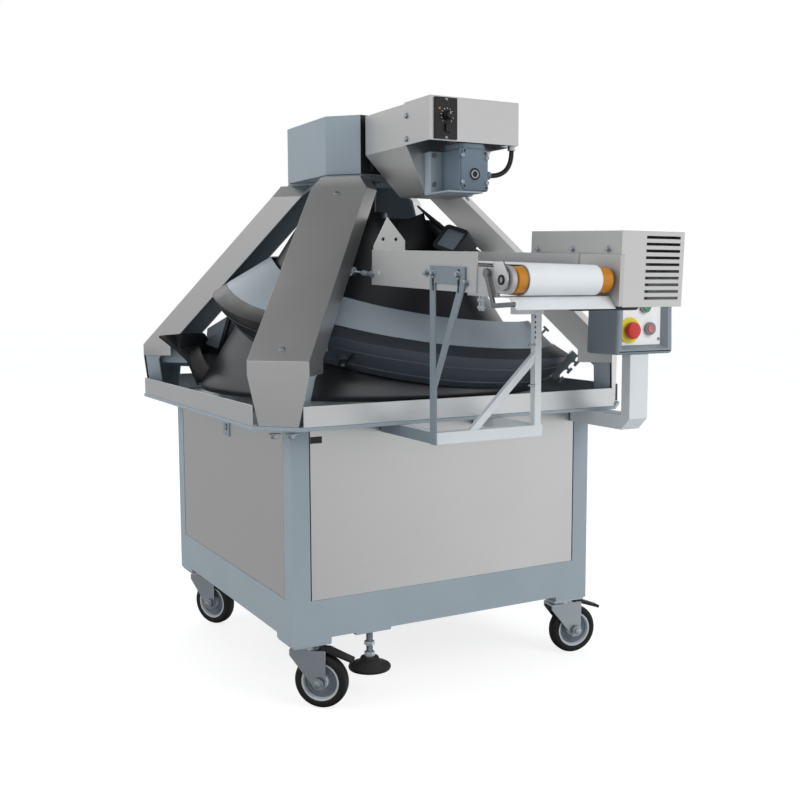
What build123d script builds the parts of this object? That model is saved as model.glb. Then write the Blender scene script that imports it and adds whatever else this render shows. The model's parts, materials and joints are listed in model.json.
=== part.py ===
from build123d import *
import math
import os

# Conical dough rounder. Lengths are millimetres, angles are degrees.
# The model is laid out around the upright axis of the cone, which stands over
# the middle of the square cabinet. +X runs to the right along the front,
# the front faces -Y and the floor is at height zero.

# Fits between pieces
shaft_fit = 0.05
running_gap = 0.5
seam_gap = 0.3
panel_gap = 2.5

# Casters
wheel_diameter = 125.0
wheel_width = 32.0
tyre_depth = 18.0
hub_diameter = 34.0
rim_web = 10.0
axle_diameter = 12.0
axle_head = 20.0
axle_head_thickness = 7.0
caster_trail = 40.0
caster_inset = 50.0
caster_rise = 30.0
caster_plate_size = 92.0
caster_plate_thickness = 5.0
race_diameter = 56.0
race_height = 6.0
king_pin_diameter = 20.0
fork_sheet = 4.0
fork_crown_thickness = 6.0
fork_crown_front = -30.0
fork_crown_back = 34.0
fork_foot_half = 15.0
pedal_pin_diameter = 6.0
pedal_pin_back = 48.0
pedal_width = 26.0
pedal_length = 66.0
pedal_drop = 18.0
pedal_sheet = 7.0
swivel_front_left = -42.0
swivel_front_right = -9.0
swivel_rear_left = -60.0
swivel_rear_right = -35.0
caster_height = wheel_diameter + caster_rise

# Cabinet frame
cabinet_width = 820.0
tube_size = 45.0
tube_wall = 3.0
gusset_thickness = 12.0
rail_height = 90.0
cabinet_opening = 396.0
gusset_size = 95.0
foot_plate_length = 92.0
foot_plate_thickness = 6.0
top_rail_height = 26.0
top_rail_thickness = 20.0
top_rail_setback = 8.0
rail_bottom = caster_height + gusset_thickness
rail_top = rail_bottom + rail_height

# Levelling feet
foot_pad_diameter = 100.0
foot_pad_edge = 9.0
foot_pad_neck = 36.0
foot_pad_height = 30.0
foot_clearance = 68.0
foot_stem_diameter = 16.0
foot_stem_drop = 19.0
foot_nut_across = 24.0
foot_nut_height = 12.0
foot_offset = 208.0
foot_stem_top = rail_top - foot_stem_drop

# Cabinet panels and the latch of the left door
panel_sheet = 2.0
panel_return = 14.0
panel_inset = 1.0
latch_plate_size = 44.0
latch_plate_thickness = 3.0
latch_drop = 44.0
lock_diameter = 16.0
lock_length = 26.0
lock_cam_length = 18.0
lock_cam_thickness = 3.0
lock_slot_width = 2.4
lock_slot_length = 10.0

# Deck
deck_overhang = 92.0
deck_chamfer = 81.0
deck_thickness = 8.0
deck_hole = 60.0
rim_setback = 2.0
rim_end_gap = 9.0
rim_height = 45.0
rim_sheet = 2.5
rim_foot = 14.0
deck_bottom = rail_top + cabinet_opening
deck_width = cabinet_width + 2 * deck_overhang
rim_width = deck_width - 2 * rim_setback
rim_length = deck_width - 2 * deck_chamfer - rim_end_gap
deck_top = deck_bottom + deck_thickness

# Columns, drawn in the plane that holds the cone axis. Their outer face leans at 45 degrees
# and meets the underside of the head at its corner, so it sets the height of the head.
column_width = 142.0
cover_sheet = 2.0
cover_toe_setback = 9.7
cover_leg = 139.0
cover_skirt = 108.0
cover_cap_drop = 36.0
cover_cap_gap = 7.0
cover_cap_lean = 17.0
cover_cap_width = 99.0
cover_toe_width = 92.0
cover_depth = 84.0
frame_inset = 3.0
frame_depth = 80.0
frame_sheet = 5.0
leg_depth = 40.0
leg_cover_gap = 2.0
head_width = 366.0
head_chamfer = 64.0
head_height = 141.0
head_sheet = 2.0
head_plate_thickness = 8.0
bearing_flange = 120.0
bearing_flange_thickness = 12.0
bearing_body = 76.0
bearing_height = 38.0
cover_bend_radius = (deck_width - deck_chamfer) / math.sqrt(2) - cover_toe_setback
cover_bend_height = deck_top + cover_leg
cover_skirt_height = deck_top + cover_skirt
cover_sum = cover_bend_radius + cover_bend_height
head_bottom = cover_sum - (head_width - head_chamfer) / math.sqrt(2)
head_top = head_bottom + head_height
cover_cap_height = head_bottom - cover_cap_drop
cover_cap_radius = cover_sum - cover_cap_height
cover_top_height = head_bottom - cover_cap_gap

# Cone and its shaft
shaft_diameter = 32.0
shaft_tail = 8.0
cone_lift = 35.0
cone_height = 429.0
cone_rim_gap = 41.0
cone_slope = 0.634
cone_wall = 8.0
cone_lip = 14.0
cone_lip_lean = 3.0
hub_outer = 92.0
hub_height = 25.0
cone_crown = 12.0
skirt_ring_inset = 57.0
skirt_ring_wall = 3.0
skirt_ring_height = 30.0
cone_bottom = deck_top + cone_lift
cone_top = cone_bottom + cone_height
hub_top = cone_top + hub_height
cone_base_radius = rim_width / 2 - cone_rim_gap
skirt_ring_radius = cone_base_radius - skirt_ring_inset

# Main gearmotor under the deck
reducer_width = 190.0
reducer_height = 140.0
reducer_round = 20.0
motor_diameter = 150.0
motor_length = 190.0
motor_drop = 20.0
motor_flange = 180.0
motor_flange_thickness = 14.0
motor_deck_gap = 2.0
motor_box_width = 90.0
motor_box_height = 50.0
motor_box_sink = 12.0
motor_box_start = 30.0
shaft_bottom = deck_bottom - reducer_height - shaft_tail

# Spiral track: section at full size, outward and upward from its lower lip, and the
# sections of the bell at its mouth and of the hood behind it, point for point
track_lip_gap = 6.0
track_section = [(0, 0), (3, -9), (13, -8), (62, 44), (72, 61), (34, 86), (30, 81.5), (60, 60), (52, 46),
                 (20, 12), (8, 3)]
bell_section = [(-4, 1), (-2, -3), (3, 0), (26, 60), (50, 85), (96, 124), (93, 128), (46, 90), (21, 65),
                (9, 32), (1.5, 13)]
hood_section = [(-4, 1), (-2, -3), (3, 0), (26, 60), (44, 88), (46, 128), (41.5, 130), (39.5, 90), (21, 64),
                (9, 32), (1.5, 13)]
hood_end_section = [(-4, 1), (-2, -3), (3, 0), (28, 60), (36, 92), (16, 127), (12, 124.5), (31, 91),
                    (22.5, 63), (9, 32), (1.5, 13)]
front_cover_section = [(33.3, 86.7), (-32, 150), (-35, 146.6), (29.3, 82.2)]
upper_cover_section = [(33.3, 86.7), (-85, 157), (-87.4, 152.8), (29.3, 82.2)]
track_flange_reach = 32.0
track_flange_root = 4.0
track_flange_thickness = 9.0
track_station_step = 12.0

# Rise of the track's lower lip above the foot of the cone and the size of its section along
# the turn. The turn is counted clockwise, seen from above, from the mouth on the left.
mouth_azimuth = 165.0
lip_turns = [0, 75, 165, 196, 216, 236, 256, 276, 296, 320, 348, 375, 390, 435, 480, 525, 570, 584, 602]
lip_rises = [10, 10, 14, 22, 22, 26, 37.5, 61, 93, 122, 171, 206, 218, 245, 265, 279, 292, 296, 304]
size_turns = [0, 343, 390, 435, 480, 525, 570, 584, 602]
section_sizes = [1.0, 1.0, 0.81, 0.77, 0.71, 0.68, 0.64, 0.66, 1.02]
lower_track_end = 199.98
front_track_start = 200.02
front_cover_start = 206.0
front_track_end = 306.5
upper_track_start = 308.5
upper_track_end = 602.0
mouth_turns = [0, 6, 24, 36]
mouth_sections = [bell_section, hood_section, hood_end_section, track_section]
mouth_step = 3.0

# Collar round the outlet at the upper end of the track
collar_width = 98.0
collar_height = 66.0
collar_wall = 8.0
collar_round = 16.0
collar_out = 26.0
collar_up = 75.0
collar_sink = 12.0
collar_length = 36.0
guard_sheet = 5.0
guard_length = 107.0
guard_crest = 42.0
guard_fall = 60.0
guard_end_drop = 13.0

# Track brackets, each seat a column's azimuth and the lap of the track that it carries,
# and the clamp lever
bracket_thickness = 10.0
bracket_drop = 18.0
bracket_bite = 6.0
bracket_spread = 46.0
bracket_seats = [(45, 0), (45, 360), (135, 0), (135, 360), (225, 0), (315, 360)]
clamp_boss_root = 6.0
clamp_boss_diameter = 22.0
clamp_boss_length = 16.0
clamp_pin_diameter = 12.0
clamp_pin_length = 13.0
clamp_knob_diameter = 11.0
clamp_arm_length = 36.0
clamp_arm_thickness = 9.0
clamp_arm_spread = 45.0
clamp_turn = 290.0

# Flour duster
hopper_head_gap = 18.0
hopper_depth = 201.0
hopper_lap = 18.0
hopper_top_drop = 6.0
hopper_box_height = 93.0
hopper_funnel_height = 105.0
hopper_slot_half = 64.0
hopper_slot_depth = 120.0
hopper_sheet = 2.0
dosing_rise = 37.0
dosing_diameter = 58.0
dosing_flutes = 10
dosing_flute_depth = 5.0
dosing_clear = 6.0
dosing_shaft_diameter = 16.0
dosing_shaft_inset = 6.0
arm_plate_width = 190.0
arm_plate_rise = 7.0
arm_plate_drop = 18.0
control_box_width = 234.0
control_box_depth = 108.0
control_box_lap = 4.0
control_box_cap = 2.0
gearbox_width = 75.0
gearbox_inset = 4.0
gearbox_stand = 28.0
gearbox_drop = 12.0
gearbox_corner = 12.0
gearbox_round = 4.0
gearbox_boss = 36.0
gearbox_boss_height = 3.0
duster_motor_diameter = 74.0
duster_motor_flange = 88.0
duster_motor_flange_height = 12.0
duster_motor_drop = 14.0
saddle_left = -67.0
saddle_right = 46.0
saddle_lip_right = 24.0
saddle_sheet = 4.0
saddle_foot = 4.0
saddle_drop = 1.0
module_inset = 12.0
module_width = 56.0
module_margin = 3.0
module_thickness = 5.0
knob_offset = 2.0
knob_rise = 50.0
knob_diameter = 20.0
knob_length = 14.0
knob_shaft = 6.0
knob_mark_width = 2.0
knob_mark_depth = 1.5
toggle_drop = 26.0
toggle_width = 11.0
toggle_tall = 18.0
toggle_stick = 5.0
toggle_pin = 3.0
cable_diameter = 11.0
cable_inset_x = 9.5
cable_inset_y = 14.0
cable_bend = 46.0
gland_diameter = 18.0
gland_length = 10.0
hopper_back = -head_width / 2 - hopper_head_gap
hopper_front = hopper_back - hopper_depth
hopper_side_front = hopper_front - hopper_lap
hopper_top = head_top - hopper_top_drop
hopper_waist = hopper_top - hopper_box_height
hopper_bottom = hopper_waist - hopper_funnel_height
hopper_slot_back = hopper_front + hopper_slot_depth
dosing_height = hopper_bottom + dosing_rise
arm_plate_bottom = head_bottom + arm_plate_rise
arm_plate_top = head_top - arm_plate_drop
control_box_front = hopper_front - control_box_depth
control_box_back = hopper_front + control_box_lap
control_box_bottom = hopper_waist
control_box_top = hopper_top + control_box_cap
gearbox_front = control_box_front + gearbox_inset
gearbox_back = hopper_front - gearbox_stand
gearbox_top = control_box_bottom - gearbox_drop
dosing_shaft_front = gearbox_front + dosing_shaft_inset
duster_motor_top = control_box_top - duster_motor_drop
saddle_bottom = hopper_bottom - saddle_foot
saddle_top = gearbox_top - saddle_drop
module_left = -control_box_width / 2 + module_inset
module_right = module_left + module_width
module_bottom = control_box_bottom + module_margin
module_top = control_box_top - module_margin
knob_x = (module_left + module_right) / 2 + knob_offset
knob_height = module_bottom + knob_rise
toggle_height = knob_height - toggle_drop
cable_x = control_box_width / 2 - cable_inset_x
cable_y = control_box_front + cable_inset_y

# Bracket that carries the conveyor
arm_tube = 25.0
arm_reach = 153.0
arm_wall_gap = 2.0
arm_span = 273.0
post_cap_height = 19.8
post_cap_length = 69.0
post_cap_proud = 2.0
post_size = 17.0
post_inset = 4.5
brace_start = 85.0
brace_drop = 84.0
brace_width = 16.0
brace_inset = 2.0
vee_sheet = 4.0
vee_setback = 17.0
vee_width = 134.0
vee_rise = 32.0
vee_slope = 6.0
vee_fork_rise = 115.0
vee_bar = 20.0
vee_edge = 4.0
vee_heel = 30.0
vee_head = 36.0
vee_slot = 7.0
arm_front = -deck_width / 2 - arm_reach
arm_back = -cabinet_width / 2 - arm_wall_gap
vee_back = arm_front + vee_setback
vee_front = vee_back - vee_width
vee_fork = deck_top + vee_fork_rise

# Outfeed conveyor, drawn level from its front roller and then tilted
conveyor_tilt = 2.5
conveyor_reach = 247.0
conveyor_rise = 305.0
belt_left = -150.0
belt_width = 170.0
belt_sheet = 2.0
belt_margin = 38.0
roller_diameter = 54.0
roller_shaft = 15.0
roller_shaft_inset = 2.0
roller_journal = 10.0
roller_journal_inset = 12.0
roller_end_diameter = 50.0
roller_end_left = 22.0
roller_end_right = 30.0
roller_core_left = 1.0
roller_core_right = 3.0
idler_back = 496.0
idler_shaft = 12.0
guide_sheet = 3.0
guide_front = 94.0
guide_tail = 35.0
guide_bottom = -29.0
guide_top = 50.0
cheek_sheet = 9.0
cheek_round = 26.0
cheek_back = 130.0
cheek_bottom = -34.0
cheek_toe = 8.0
cheek_toe_start = 30.0
cheek_top = 22.0
side_plate_sheet = 10.0
side_plate_front = -32.0
side_plate_back = 290.0
side_plate_bottom = -50.0
side_plate_foot_start = 236.0
side_plate_foot_end = 272.0
side_plate_foot_drop = 10.0
post_cap_gap = 0.5
shelf_reach = 8.0
bed_sheet = 3.0
bed_front = 44.0
bed_back = 456.0
bed_drop = 1.5
bed_inset = 20.0
cross_tube = 24.0
cross_tube_front = 150.0
cross_tube_back = 430.0
scraper_sheet = 3.0
scraper_back = 40.0
scraper_front = -22.0
scraper_drop = 24.0
scraper_gap = 1.5
lever_sheet = 6.0
lever_width = 9.0
lever_pivot_y = 55.0
lever_pivot_z = 11.0
lever_knee_y = 27.0
lever_knee_z = -49.0
lever_tip_y = -37.0
lever_tip_z = -43.0
lever_pin = 8.0
lever_boss = 18.0
motor_cover_stand = 20.0
motor_cover_width = 162.0
motor_cover_front = -10.0
motor_cover_back = 288.0
motor_cover_bottom = -53.0
motor_cover_top = 96.0
motor_cover_apron = 50.0
motor_cover_sheet = 2.0
louvre_count = 10
louvre_pitch = 13.3
louvre_height = 5.0
louvre_inset = 11.0
louvre_length = 88.0
louvre_rise = 15.0
drive_body = 84.0
drive_body_inset = 6.0
drive_body_length = 68.0
drive_block_gap = 0.5
drive_block_depth = 86.0
drive_block_round = 6.0
drive_flange = 60.0
drive_motor_diameter = 66.0
drive_motor_length = 180.0
chute_width = 81.0
chute_top = 124.0
chute_low = 58.0
chute_sheet = 3.0
chute_peak = 34.0
chute_shoulder = 72.0
chute_hole = 8.0
chute_hole_height = 74.0
chute_hole_inset = 24.0
chute_fold = 44.0
chute_gap = 4.0
roller_y = arm_front - conveyor_reach
roller_z = deck_top + conveyor_rise
belt_right = belt_left + belt_width
guide_left = belt_left - belt_margin
guide_right = belt_right + belt_margin
guide_back = idler_back + guide_tail
roller_left = belt_left - roller_end_left
roller_right = belt_right + roller_end_right
roller_shaft_left = guide_left + roller_shaft_inset
motor_cover_left = guide_right + motor_cover_stand
motor_cover_right = motor_cover_left + motor_cover_width
louvre_right = motor_cover_right - louvre_inset
louvre_left = louvre_right - louvre_length
louvre_bottom = motor_cover_bottom + louvre_rise
drive_body_left = motor_cover_left + drive_body_inset
drive_body_right = drive_body_left + drive_body_length
roller_journal_right = drive_body_right - roller_journal_inset
chute_right = guide_left + guide_sheet + chute_width
arm_left = guide_left
arm_right = arm_left + arm_span
vee_top = roller_z + vee_rise
brace_low_x = arm_left + brace_start
side_plate_foot = side_plate_bottom - side_plate_foot_drop
tilt_sine = math.sin(math.radians(conveyor_tilt))
tilt_cosine = math.cos(math.radians(conveyor_tilt))
post_cap_top = roller_z + side_plate_foot_start * tilt_sine + side_plate_foot * tilt_cosine - post_cap_gap
post_top = post_cap_top - post_cap_height
post_cap_left = arm_right - post_cap_length
brace_high_z = post_top - brace_drop

# Control station
station_reach = 138.0
station_stand = 64.0
station_width = 171.0
station_depth = 112.0
station_rise = 136.0
station_height = 188.0
station_round = 16.0
station_recess = 14.0
station_wall = 4.0
station_ledge = 9.0
plate_inset_left = 18.0
plate_inset_right = 29.0
plate_inset_bottom = 21.0
plate_inset_top = 13.0
plate_sheet = 2.0
estop_inset = 30.0
estop_rise = 35.0
estop_ring = 60.0
estop_ring_thickness = 3.0
estop_head = 40.0
estop_head_length = 14.0
estop_head_round = 3.0
estop_neck = 24.0
estop_stand = 8.0
estop_tail = 20.0
stop_inset = 35.0
stop_rise = 3.0
start_shift = 15.0
start_rise = 52.0
button_bezel = 30.0
button_bezel_length = 8.0
button_cap = 21.0
button_cap_stand = 2.0
button_tail = 14.0
station_arm_inset = 46.0
station_arm_width = 55.0
station_arm_setback = 6.0
station_arm_depth = 30.0
station_leg_height = 35.0
station_elbow = 28.0
station_left = motor_cover_right + station_stand
station_right = station_left + station_width
station_front = -deck_width / 2 - station_reach
station_back = station_front + station_depth
station_bottom = deck_top + station_rise
station_top = station_bottom + station_height
plate_left = station_left + plate_inset_left
plate_right = station_right - plate_inset_right
plate_bottom = station_bottom + plate_inset_bottom
plate_top = station_top - plate_inset_top
estop_x = plate_left + estop_inset
estop_z = plate_bottom + estop_rise
stop_x = plate_right - stop_inset
stop_z = estop_z + stop_rise
start_x = stop_x - start_shift
start_z = stop_z + start_rise
station_arm_left = station_left + station_arm_inset
station_arm_right = station_arm_left + station_arm_width
station_arm_front = station_front + station_arm_setback
station_leg_back = arm_back

# Screws
screw_head = 13.0
screw_head_height = 4.0
screw_dome = 2.0
screw_cap_drop = 14.0
screw_bend_rise = 24.0
screw_box_rise = 14.0
screw_box_drop = 30.0
screw_box_inset = 9.0


pieces = {}


def block(x0, x1, y0, y1, z0, z1):
    size = (abs(x1 - x0), abs(y1 - y0), abs(z1 - z0))
    return Pos((x0 + x1) / 2, (y0 + y1) / 2, (z0 + z1) / 2) * Box(*size)


def upright(x, y, z0, z1, diameter):
    return Pos(x, y, (z0 + z1) / 2) * Cylinder(diameter / 2, abs(z1 - z0))


def bar_x(x0, x1, y, z, diameter):
    return Pos((x0 + x1) / 2, y, z) * Rot(Y=90) * Cylinder(diameter / 2, abs(x1 - x0))


def bar_y(x, y0, y1, z, diameter):
    return Pos(x, (y0 + y1) / 2, z) * Rot(X=90) * Cylinder(diameter / 2, abs(y1 - y0))


def outline_xz(points, y0, y1):
    plane = Plane(origin=(0, max(y0, y1), 0), x_dir=(1, 0, 0), z_dir=(0, -1, 0))
    return extrude(plane * Polygon(*points, align=None), amount=abs(y1 - y0), dir=(0, -1, 0))


def outline_yz(points, x0, x1):
    plane = Plane(origin=(min(x0, x1), 0, 0), x_dir=(0, 1, 0), z_dir=(1, 0, 0))
    return extrude(plane * Polygon(*points, align=None), amount=abs(x1 - x0), dir=(1, 0, 0))


def outline_xy(points, z0, z1):
    plane = Plane(origin=(0, 0, min(z0, z1)))
    return extrude(plane * Polygon(*points, align=None), amount=abs(z1 - z0), dir=(0, 0, 1))


def chamfered_square(width, chamfer):
    half = width / 2
    inner = half - chamfer
    return [(half, -inner), (half, inner), (inner, half), (-inner, half), (-half, inner), (-half, -inner),
            (-inner, -half), (inner, -half)]


def group(shapes):
    solids = []
    for shape in shapes:
        solids.extend(shape.solids())
    return Compound(solids)


def between(value, xs, ys):
    # Smooth monotone run through the listed stations
    count = len(xs)
    slopes = [(ys[i + 1] - ys[i]) / (xs[i + 1] - xs[i]) for i in range(count - 1)]
    rates = [slopes[0]]
    for i in range(1, count - 1):
        product = slopes[i - 1] * slopes[i]
        rates.append(2 * product / (slopes[i - 1] + slopes[i]) if product > 0 else 0.0)
    rates.append(slopes[-1])
    index = 0
    while index < count - 2 and value > xs[index + 1]:
        index += 1
    width = xs[index + 1] - xs[index]
    t = (value - xs[index]) / width
    a = (1 + 2 * t) * (1 - t) ** 2 * ys[index] + t * (1 - t) ** 2 * width * rates[index]
    b = t * t * (3 - 2 * t) * ys[index + 1] + t * t * (t - 1) * width * rates[index + 1]
    return a + b


def lip_height(turn):
    return cone_bottom + between(turn, lip_turns, lip_rises)


def section_size(turn):
    return between(turn, size_turns, section_sizes)


def cone_radius(z):
    return cone_base_radius - cone_slope * (z - cone_bottom)


def lip_radius(turn):
    return cone_radius(lip_height(turn)) + track_lip_gap


# Casters
caster_spread = cabinet_width / 2 - caster_inset
wheel_radius = wheel_diameter / 2
fork_inside = wheel_width / 2 + 3.5
fork_outside = fork_inside + fork_sheet
crown_bottom = wheel_diameter + 6.0
crown_top = crown_bottom + fork_crown_thickness
plate_bottom_z = caster_height - caster_plate_thickness
race_bottom = plate_bottom_z - race_height
pedal_pin_z = crown_bottom + 3.0


def caster_spots():
    s = caster_spread
    return {
        "fl": (-s, -s, swivel_front_left),
        "fr": (s, -s, swivel_front_right),
        "rl": (-s, s, swivel_rear_left),
        "rr": (s, s, swivel_rear_right),
    }


def caster_plate():
    half = caster_plate_size / 2
    plate = block(-half, half, -half, half, plate_bottom_z, caster_height)
    race = upright(0, 0, race_bottom, plate_bottom_z, race_diameter)
    bore = upright(0, 0, race_bottom - 1, caster_height + 1, king_pin_diameter + 2 * shaft_fit)
    return plate + race - bore


def fork_cheek():
    reach = caster_trail + fork_foot_half
    back = pedal_pin_back + 8
    points = [(fork_crown_front, crown_top), (back, crown_top), (back, pedal_pin_z - 8),
              (reach, wheel_radius + 8), (reach, wheel_radius - 10), (reach - 8, wheel_radius - 17),
              (caster_trail - 8, wheel_radius - 17), (caster_trail - 15, wheel_radius - 8),
              (fork_crown_front, crown_bottom - 8)]
    return points


def caster_fork(with_pin):
    cheeks = outline_xz(fork_cheek(), fork_inside, fork_outside)
    cheeks += outline_xz(fork_cheek(), -fork_outside, -fork_inside)
    crown = block(fork_crown_front, fork_crown_back, -fork_outside, fork_outside, crown_bottom, crown_top)
    disc = upright(0, 0, crown_top, race_bottom - running_gap, race_diameter)
    pin = upright(0, 0, crown_top, caster_height, king_pin_diameter)
    fork = cheeks + crown + disc + pin
    if with_pin:
        fork += bar_y(pedal_pin_back, -fork_outside, fork_outside, pedal_pin_z, pedal_pin_diameter)
    fork -= bar_y(caster_trail, -fork_outside - 1, fork_outside + 1, wheel_radius, axle_diameter)
    head = axle_head_thickness
    axle = bar_y(caster_trail, -fork_outside, fork_outside, wheel_radius, axle_diameter)
    for side in (-1, 1):
        start = side * fork_outside
        cap = Pos(caster_trail, start + side * head / 2, wheel_radius) * Rot(X=90)
        axle += cap * extrude(RegularPolygon(axle_head / 2, 6), amount=head / 2, both=True)
    return group([fork, axle])


def caster_wheel():
    rim_radius = wheel_radius - tyre_depth
    tyre = Cylinder(wheel_radius, wheel_width)
    tyre = fillet(tyre.edges().filter_by(GeomType.CIRCLE), 6)
    tyre -= Cylinder(rim_radius, wheel_width + 2)
    rim = Cylinder(rim_radius, wheel_width - 2)
    dish = Cylinder(rim_radius - 6, wheel_width) - Cylinder(hub_diameter / 2, wheel_width)
    web = Cylinder(rim_radius, rim_web)
    rim = rim - dish + web
    rim -= Cylinder(axle_diameter / 2 + shaft_fit, wheel_width + 2)
    turn = Pos(caster_trail, 0, wheel_radius) * Rot(X=90)
    return group([turn * rim, turn * tyre])


def caster_pedal():
    x0 = pedal_pin_back - 6
    x1 = pedal_pin_back + pedal_length
    low = pedal_pin_z - 5
    high = pedal_pin_z + 5
    tip = low - pedal_drop
    points = [(x0, low), (pedal_pin_back + 12, low), (x1, tip), (x1 + 2, tip + pedal_sheet),
              (pedal_pin_back + 14, high), (x0, high)]
    pedal = outline_xz(points, -pedal_width / 2, pedal_width / 2)
    hole = bar_y(pedal_pin_back, -pedal_width, pedal_width, pedal_pin_z, pedal_pin_diameter + 2 * shaft_fit)
    return pedal - hole


def make_casters():
    plates = []
    for name, spot in caster_spots().items():
        place = Pos(spot[0], spot[1], 0) * Rot(Z=spot[2])
        braked = name in ("fl", "fr")
        plates.append(Pos(spot[0], spot[1], 0) * caster_plate())
        pieces["caster_fork_" + name] = place * caster_fork(braked)
        pieces["caster_wheel_" + name] = place * caster_wheel()
        if braked:
            pieces["caster_brake_" + name] = place * caster_pedal()
    pieces["caster_plates"] = group(plates)


# Levelling feet
foot_row = cabinet_width / 2 - tube_size / 2


def levelling_foot():
    base = foot_clearance
    edge = base + foot_pad_edge
    neck = base + foot_pad_height
    outline = [(0, base), (foot_pad_diameter / 2, base), (foot_pad_diameter / 2, edge),
               (foot_pad_neck / 2 + 6, edge + 10), (foot_pad_neck / 2, neck), (0, neck)]
    pad = revolve(Plane.XZ * Polygon(*outline, align=None), axis=Axis.Z)
    stem = upright(0, 0, neck, foot_stem_top, foot_stem_diameter)
    nut = Pos(0, 0, neck) * extrude(RegularPolygon(foot_nut_across / 2, 6), amount=foot_nut_height)
    return group([pad, stem + nut])


def make_feet():
    pieces["levelling_foot_front"] = Pos(-foot_offset, -foot_row, 0) * levelling_foot()
    pieces["levelling_foot_rear"] = Pos(foot_offset, foot_row, 0) * levelling_foot()


# Cabinet
half_cabinet = cabinet_width / 2
half_inside = half_cabinet - tube_size


def make_base_frame():
    frame = block(-half_cabinet, half_cabinet, -half_cabinet, half_cabinet, rail_bottom, rail_top)
    frame -= block(-half_inside, half_inside, -half_inside, half_inside, rail_bottom - 1, rail_top + 1)
    outer = half_cabinet - tube_wall
    inner = half_inside + tube_wall
    trench = block(-outer, outer, -outer, outer, rail_bottom - 1, rail_top - tube_wall)
    trench -= block(-inner, inner, -inner, inner, rail_bottom - 2, rail_top)
    frame -= trench
    for sx in (-1, 1):
        for sy in (-1, 1):
            near = half_inside
            far = half_cabinet
            post = block(sx * near, sx * far, sy * near, sy * far, rail_top, deck_bottom)
            post -= block(sx * inner, sx * outer, sy * inner, sy * outer, rail_top + 1, deck_bottom + 1)
            gusset_near = half_cabinet - gusset_size
            frame += post
            frame += block(sx * gusset_near, sx * far, sy * gusset_near, sy * far, caster_height,
                           rail_bottom)
    rail_low = deck_bottom - top_rail_height
    rail_far = half_cabinet - top_rail_setback
    rail_near = rail_far - top_rail_thickness
    for side in (-1, 1):
        frame += block(-half_inside, half_inside, side * rail_near, side * rail_far, rail_low, deck_bottom)
        frame += block(side * rail_near, side * rail_far, -half_inside, half_inside, rail_low, deck_bottom)
    for x, y in ((-foot_offset, -1), (foot_offset, 1)):
        span = foot_plate_length / 2
        low = rail_bottom - foot_plate_thickness
        plate = block(x - span, x + span, y * half_inside, y * half_cabinet, low, rail_bottom)
        hole = upright(x, y * foot_row, low - 1, rail_bottom + 1, foot_stem_diameter + 2 * shaft_fit)
        frame += plate - hole
    pieces["base_frame"] = frame


panel_low = rail_top
panel_high = deck_bottom - 2.0
panel_half = half_inside - panel_gap
panel_face = half_cabinet - panel_inset


def sheet_panel(low):
    # A tray of sheet that faces -Y, with folded sides
    back = panel_face - panel_sheet
    tray = block(-panel_half, panel_half, -panel_face, -back, low, panel_high)
    fold = panel_return
    for side in (-1, 1):
        edge = side * (panel_half - panel_sheet)
        top = deck_bottom - top_rail_height - 4
        tray += block(edge, side * panel_half, -panel_face, -panel_face + fold, low + 6, top)
    return tray


def make_panels():
    front = sheet_panel(panel_low)
    pieces["fixed_panels"] = group([front, Rot(Z=90) * front, Rot(Z=180) * front])
    door = Rot(Z=-90) * sheet_panel(panel_low + running_gap)
    half = latch_plate_size / 2
    height = panel_high - latch_drop
    face = -panel_face
    plate = block(face - latch_plate_thickness, face, -half, half, height - half, height + half)
    bore = bar_x(face - 20, face + 20, 0, height, lock_diameter + 2 * shaft_fit)
    pieces["left_panel"] = group([door - bore, plate - bore])
    lock = bar_x(face - latch_plate_thickness - 2, face - latch_plate_thickness - 2 + lock_length, 0, height,
                 lock_diameter)
    cam_x = face - latch_plate_thickness - 2 + lock_length
    cam = block(cam_x - lock_cam_thickness, cam_x, -lock_diameter / 2, lock_diameter / 2,
                height - lock_cam_length, height + lock_diameter / 2)
    lock_face = face - latch_plate_thickness
    half_slot = lock_slot_width / 2
    slot = block(lock_face - 3, lock_face, -half_slot, half_slot, height - lock_slot_length / 2,
                 height + lock_slot_length / 2)
    pieces["latch_lock"] = lock + cam - slot


# Deck
def make_deck():
    plate = outline_xy(chamfered_square(deck_width, deck_chamfer), deck_bottom, deck_top)
    plate -= upright(0, 0, deck_bottom - 1, deck_top + 1, deck_hole)
    pieces["deck_plate"] = plate
    half = rim_width / 2
    span = rim_length / 2
    wall = block(-span, span, -half, -half + rim_sheet, deck_top, deck_top + rim_height)
    foot = block(-span, span, -half, -half + rim_foot, deck_top, deck_top + rim_sheet)
    rim = wall + foot
    pieces["deck_rims"] = group([Rot(Z=90 * i) * rim for i in range(4)])


# Columns
column_azimuths = [45, 135, 225, 315]
frame_sum = cover_sum - frame_inset * math.sqrt(2)
leg_outside = cover_bend_radius - frame_inset - leg_cover_gap
leg_inside = leg_outside - leg_depth
frame_inner_sum = frame_sum - frame_depth
web_sum = frame_sum - frame_sheet * math.sqrt(2)
leg_web = leg_outside - frame_sheet
web_bend = web_sum - leg_web


def tapered_leg(half):
    # Envelope of a column seen from outside, narrower below the skirt and under the cap
    toe = half - (column_width - cover_toe_width) / 2
    neck = half - (column_width - cover_cap_width) / 2
    low = deck_top - 2
    right = [(toe, low), (half, cover_skirt_height), (half, cover_cap_height), (neck, cover_top_height),
             (neck, head_top)]
    left = [(-y, z) for y, z in reversed(right)]
    return outline_yz(right + left, 0, leg_outside + 1)


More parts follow.
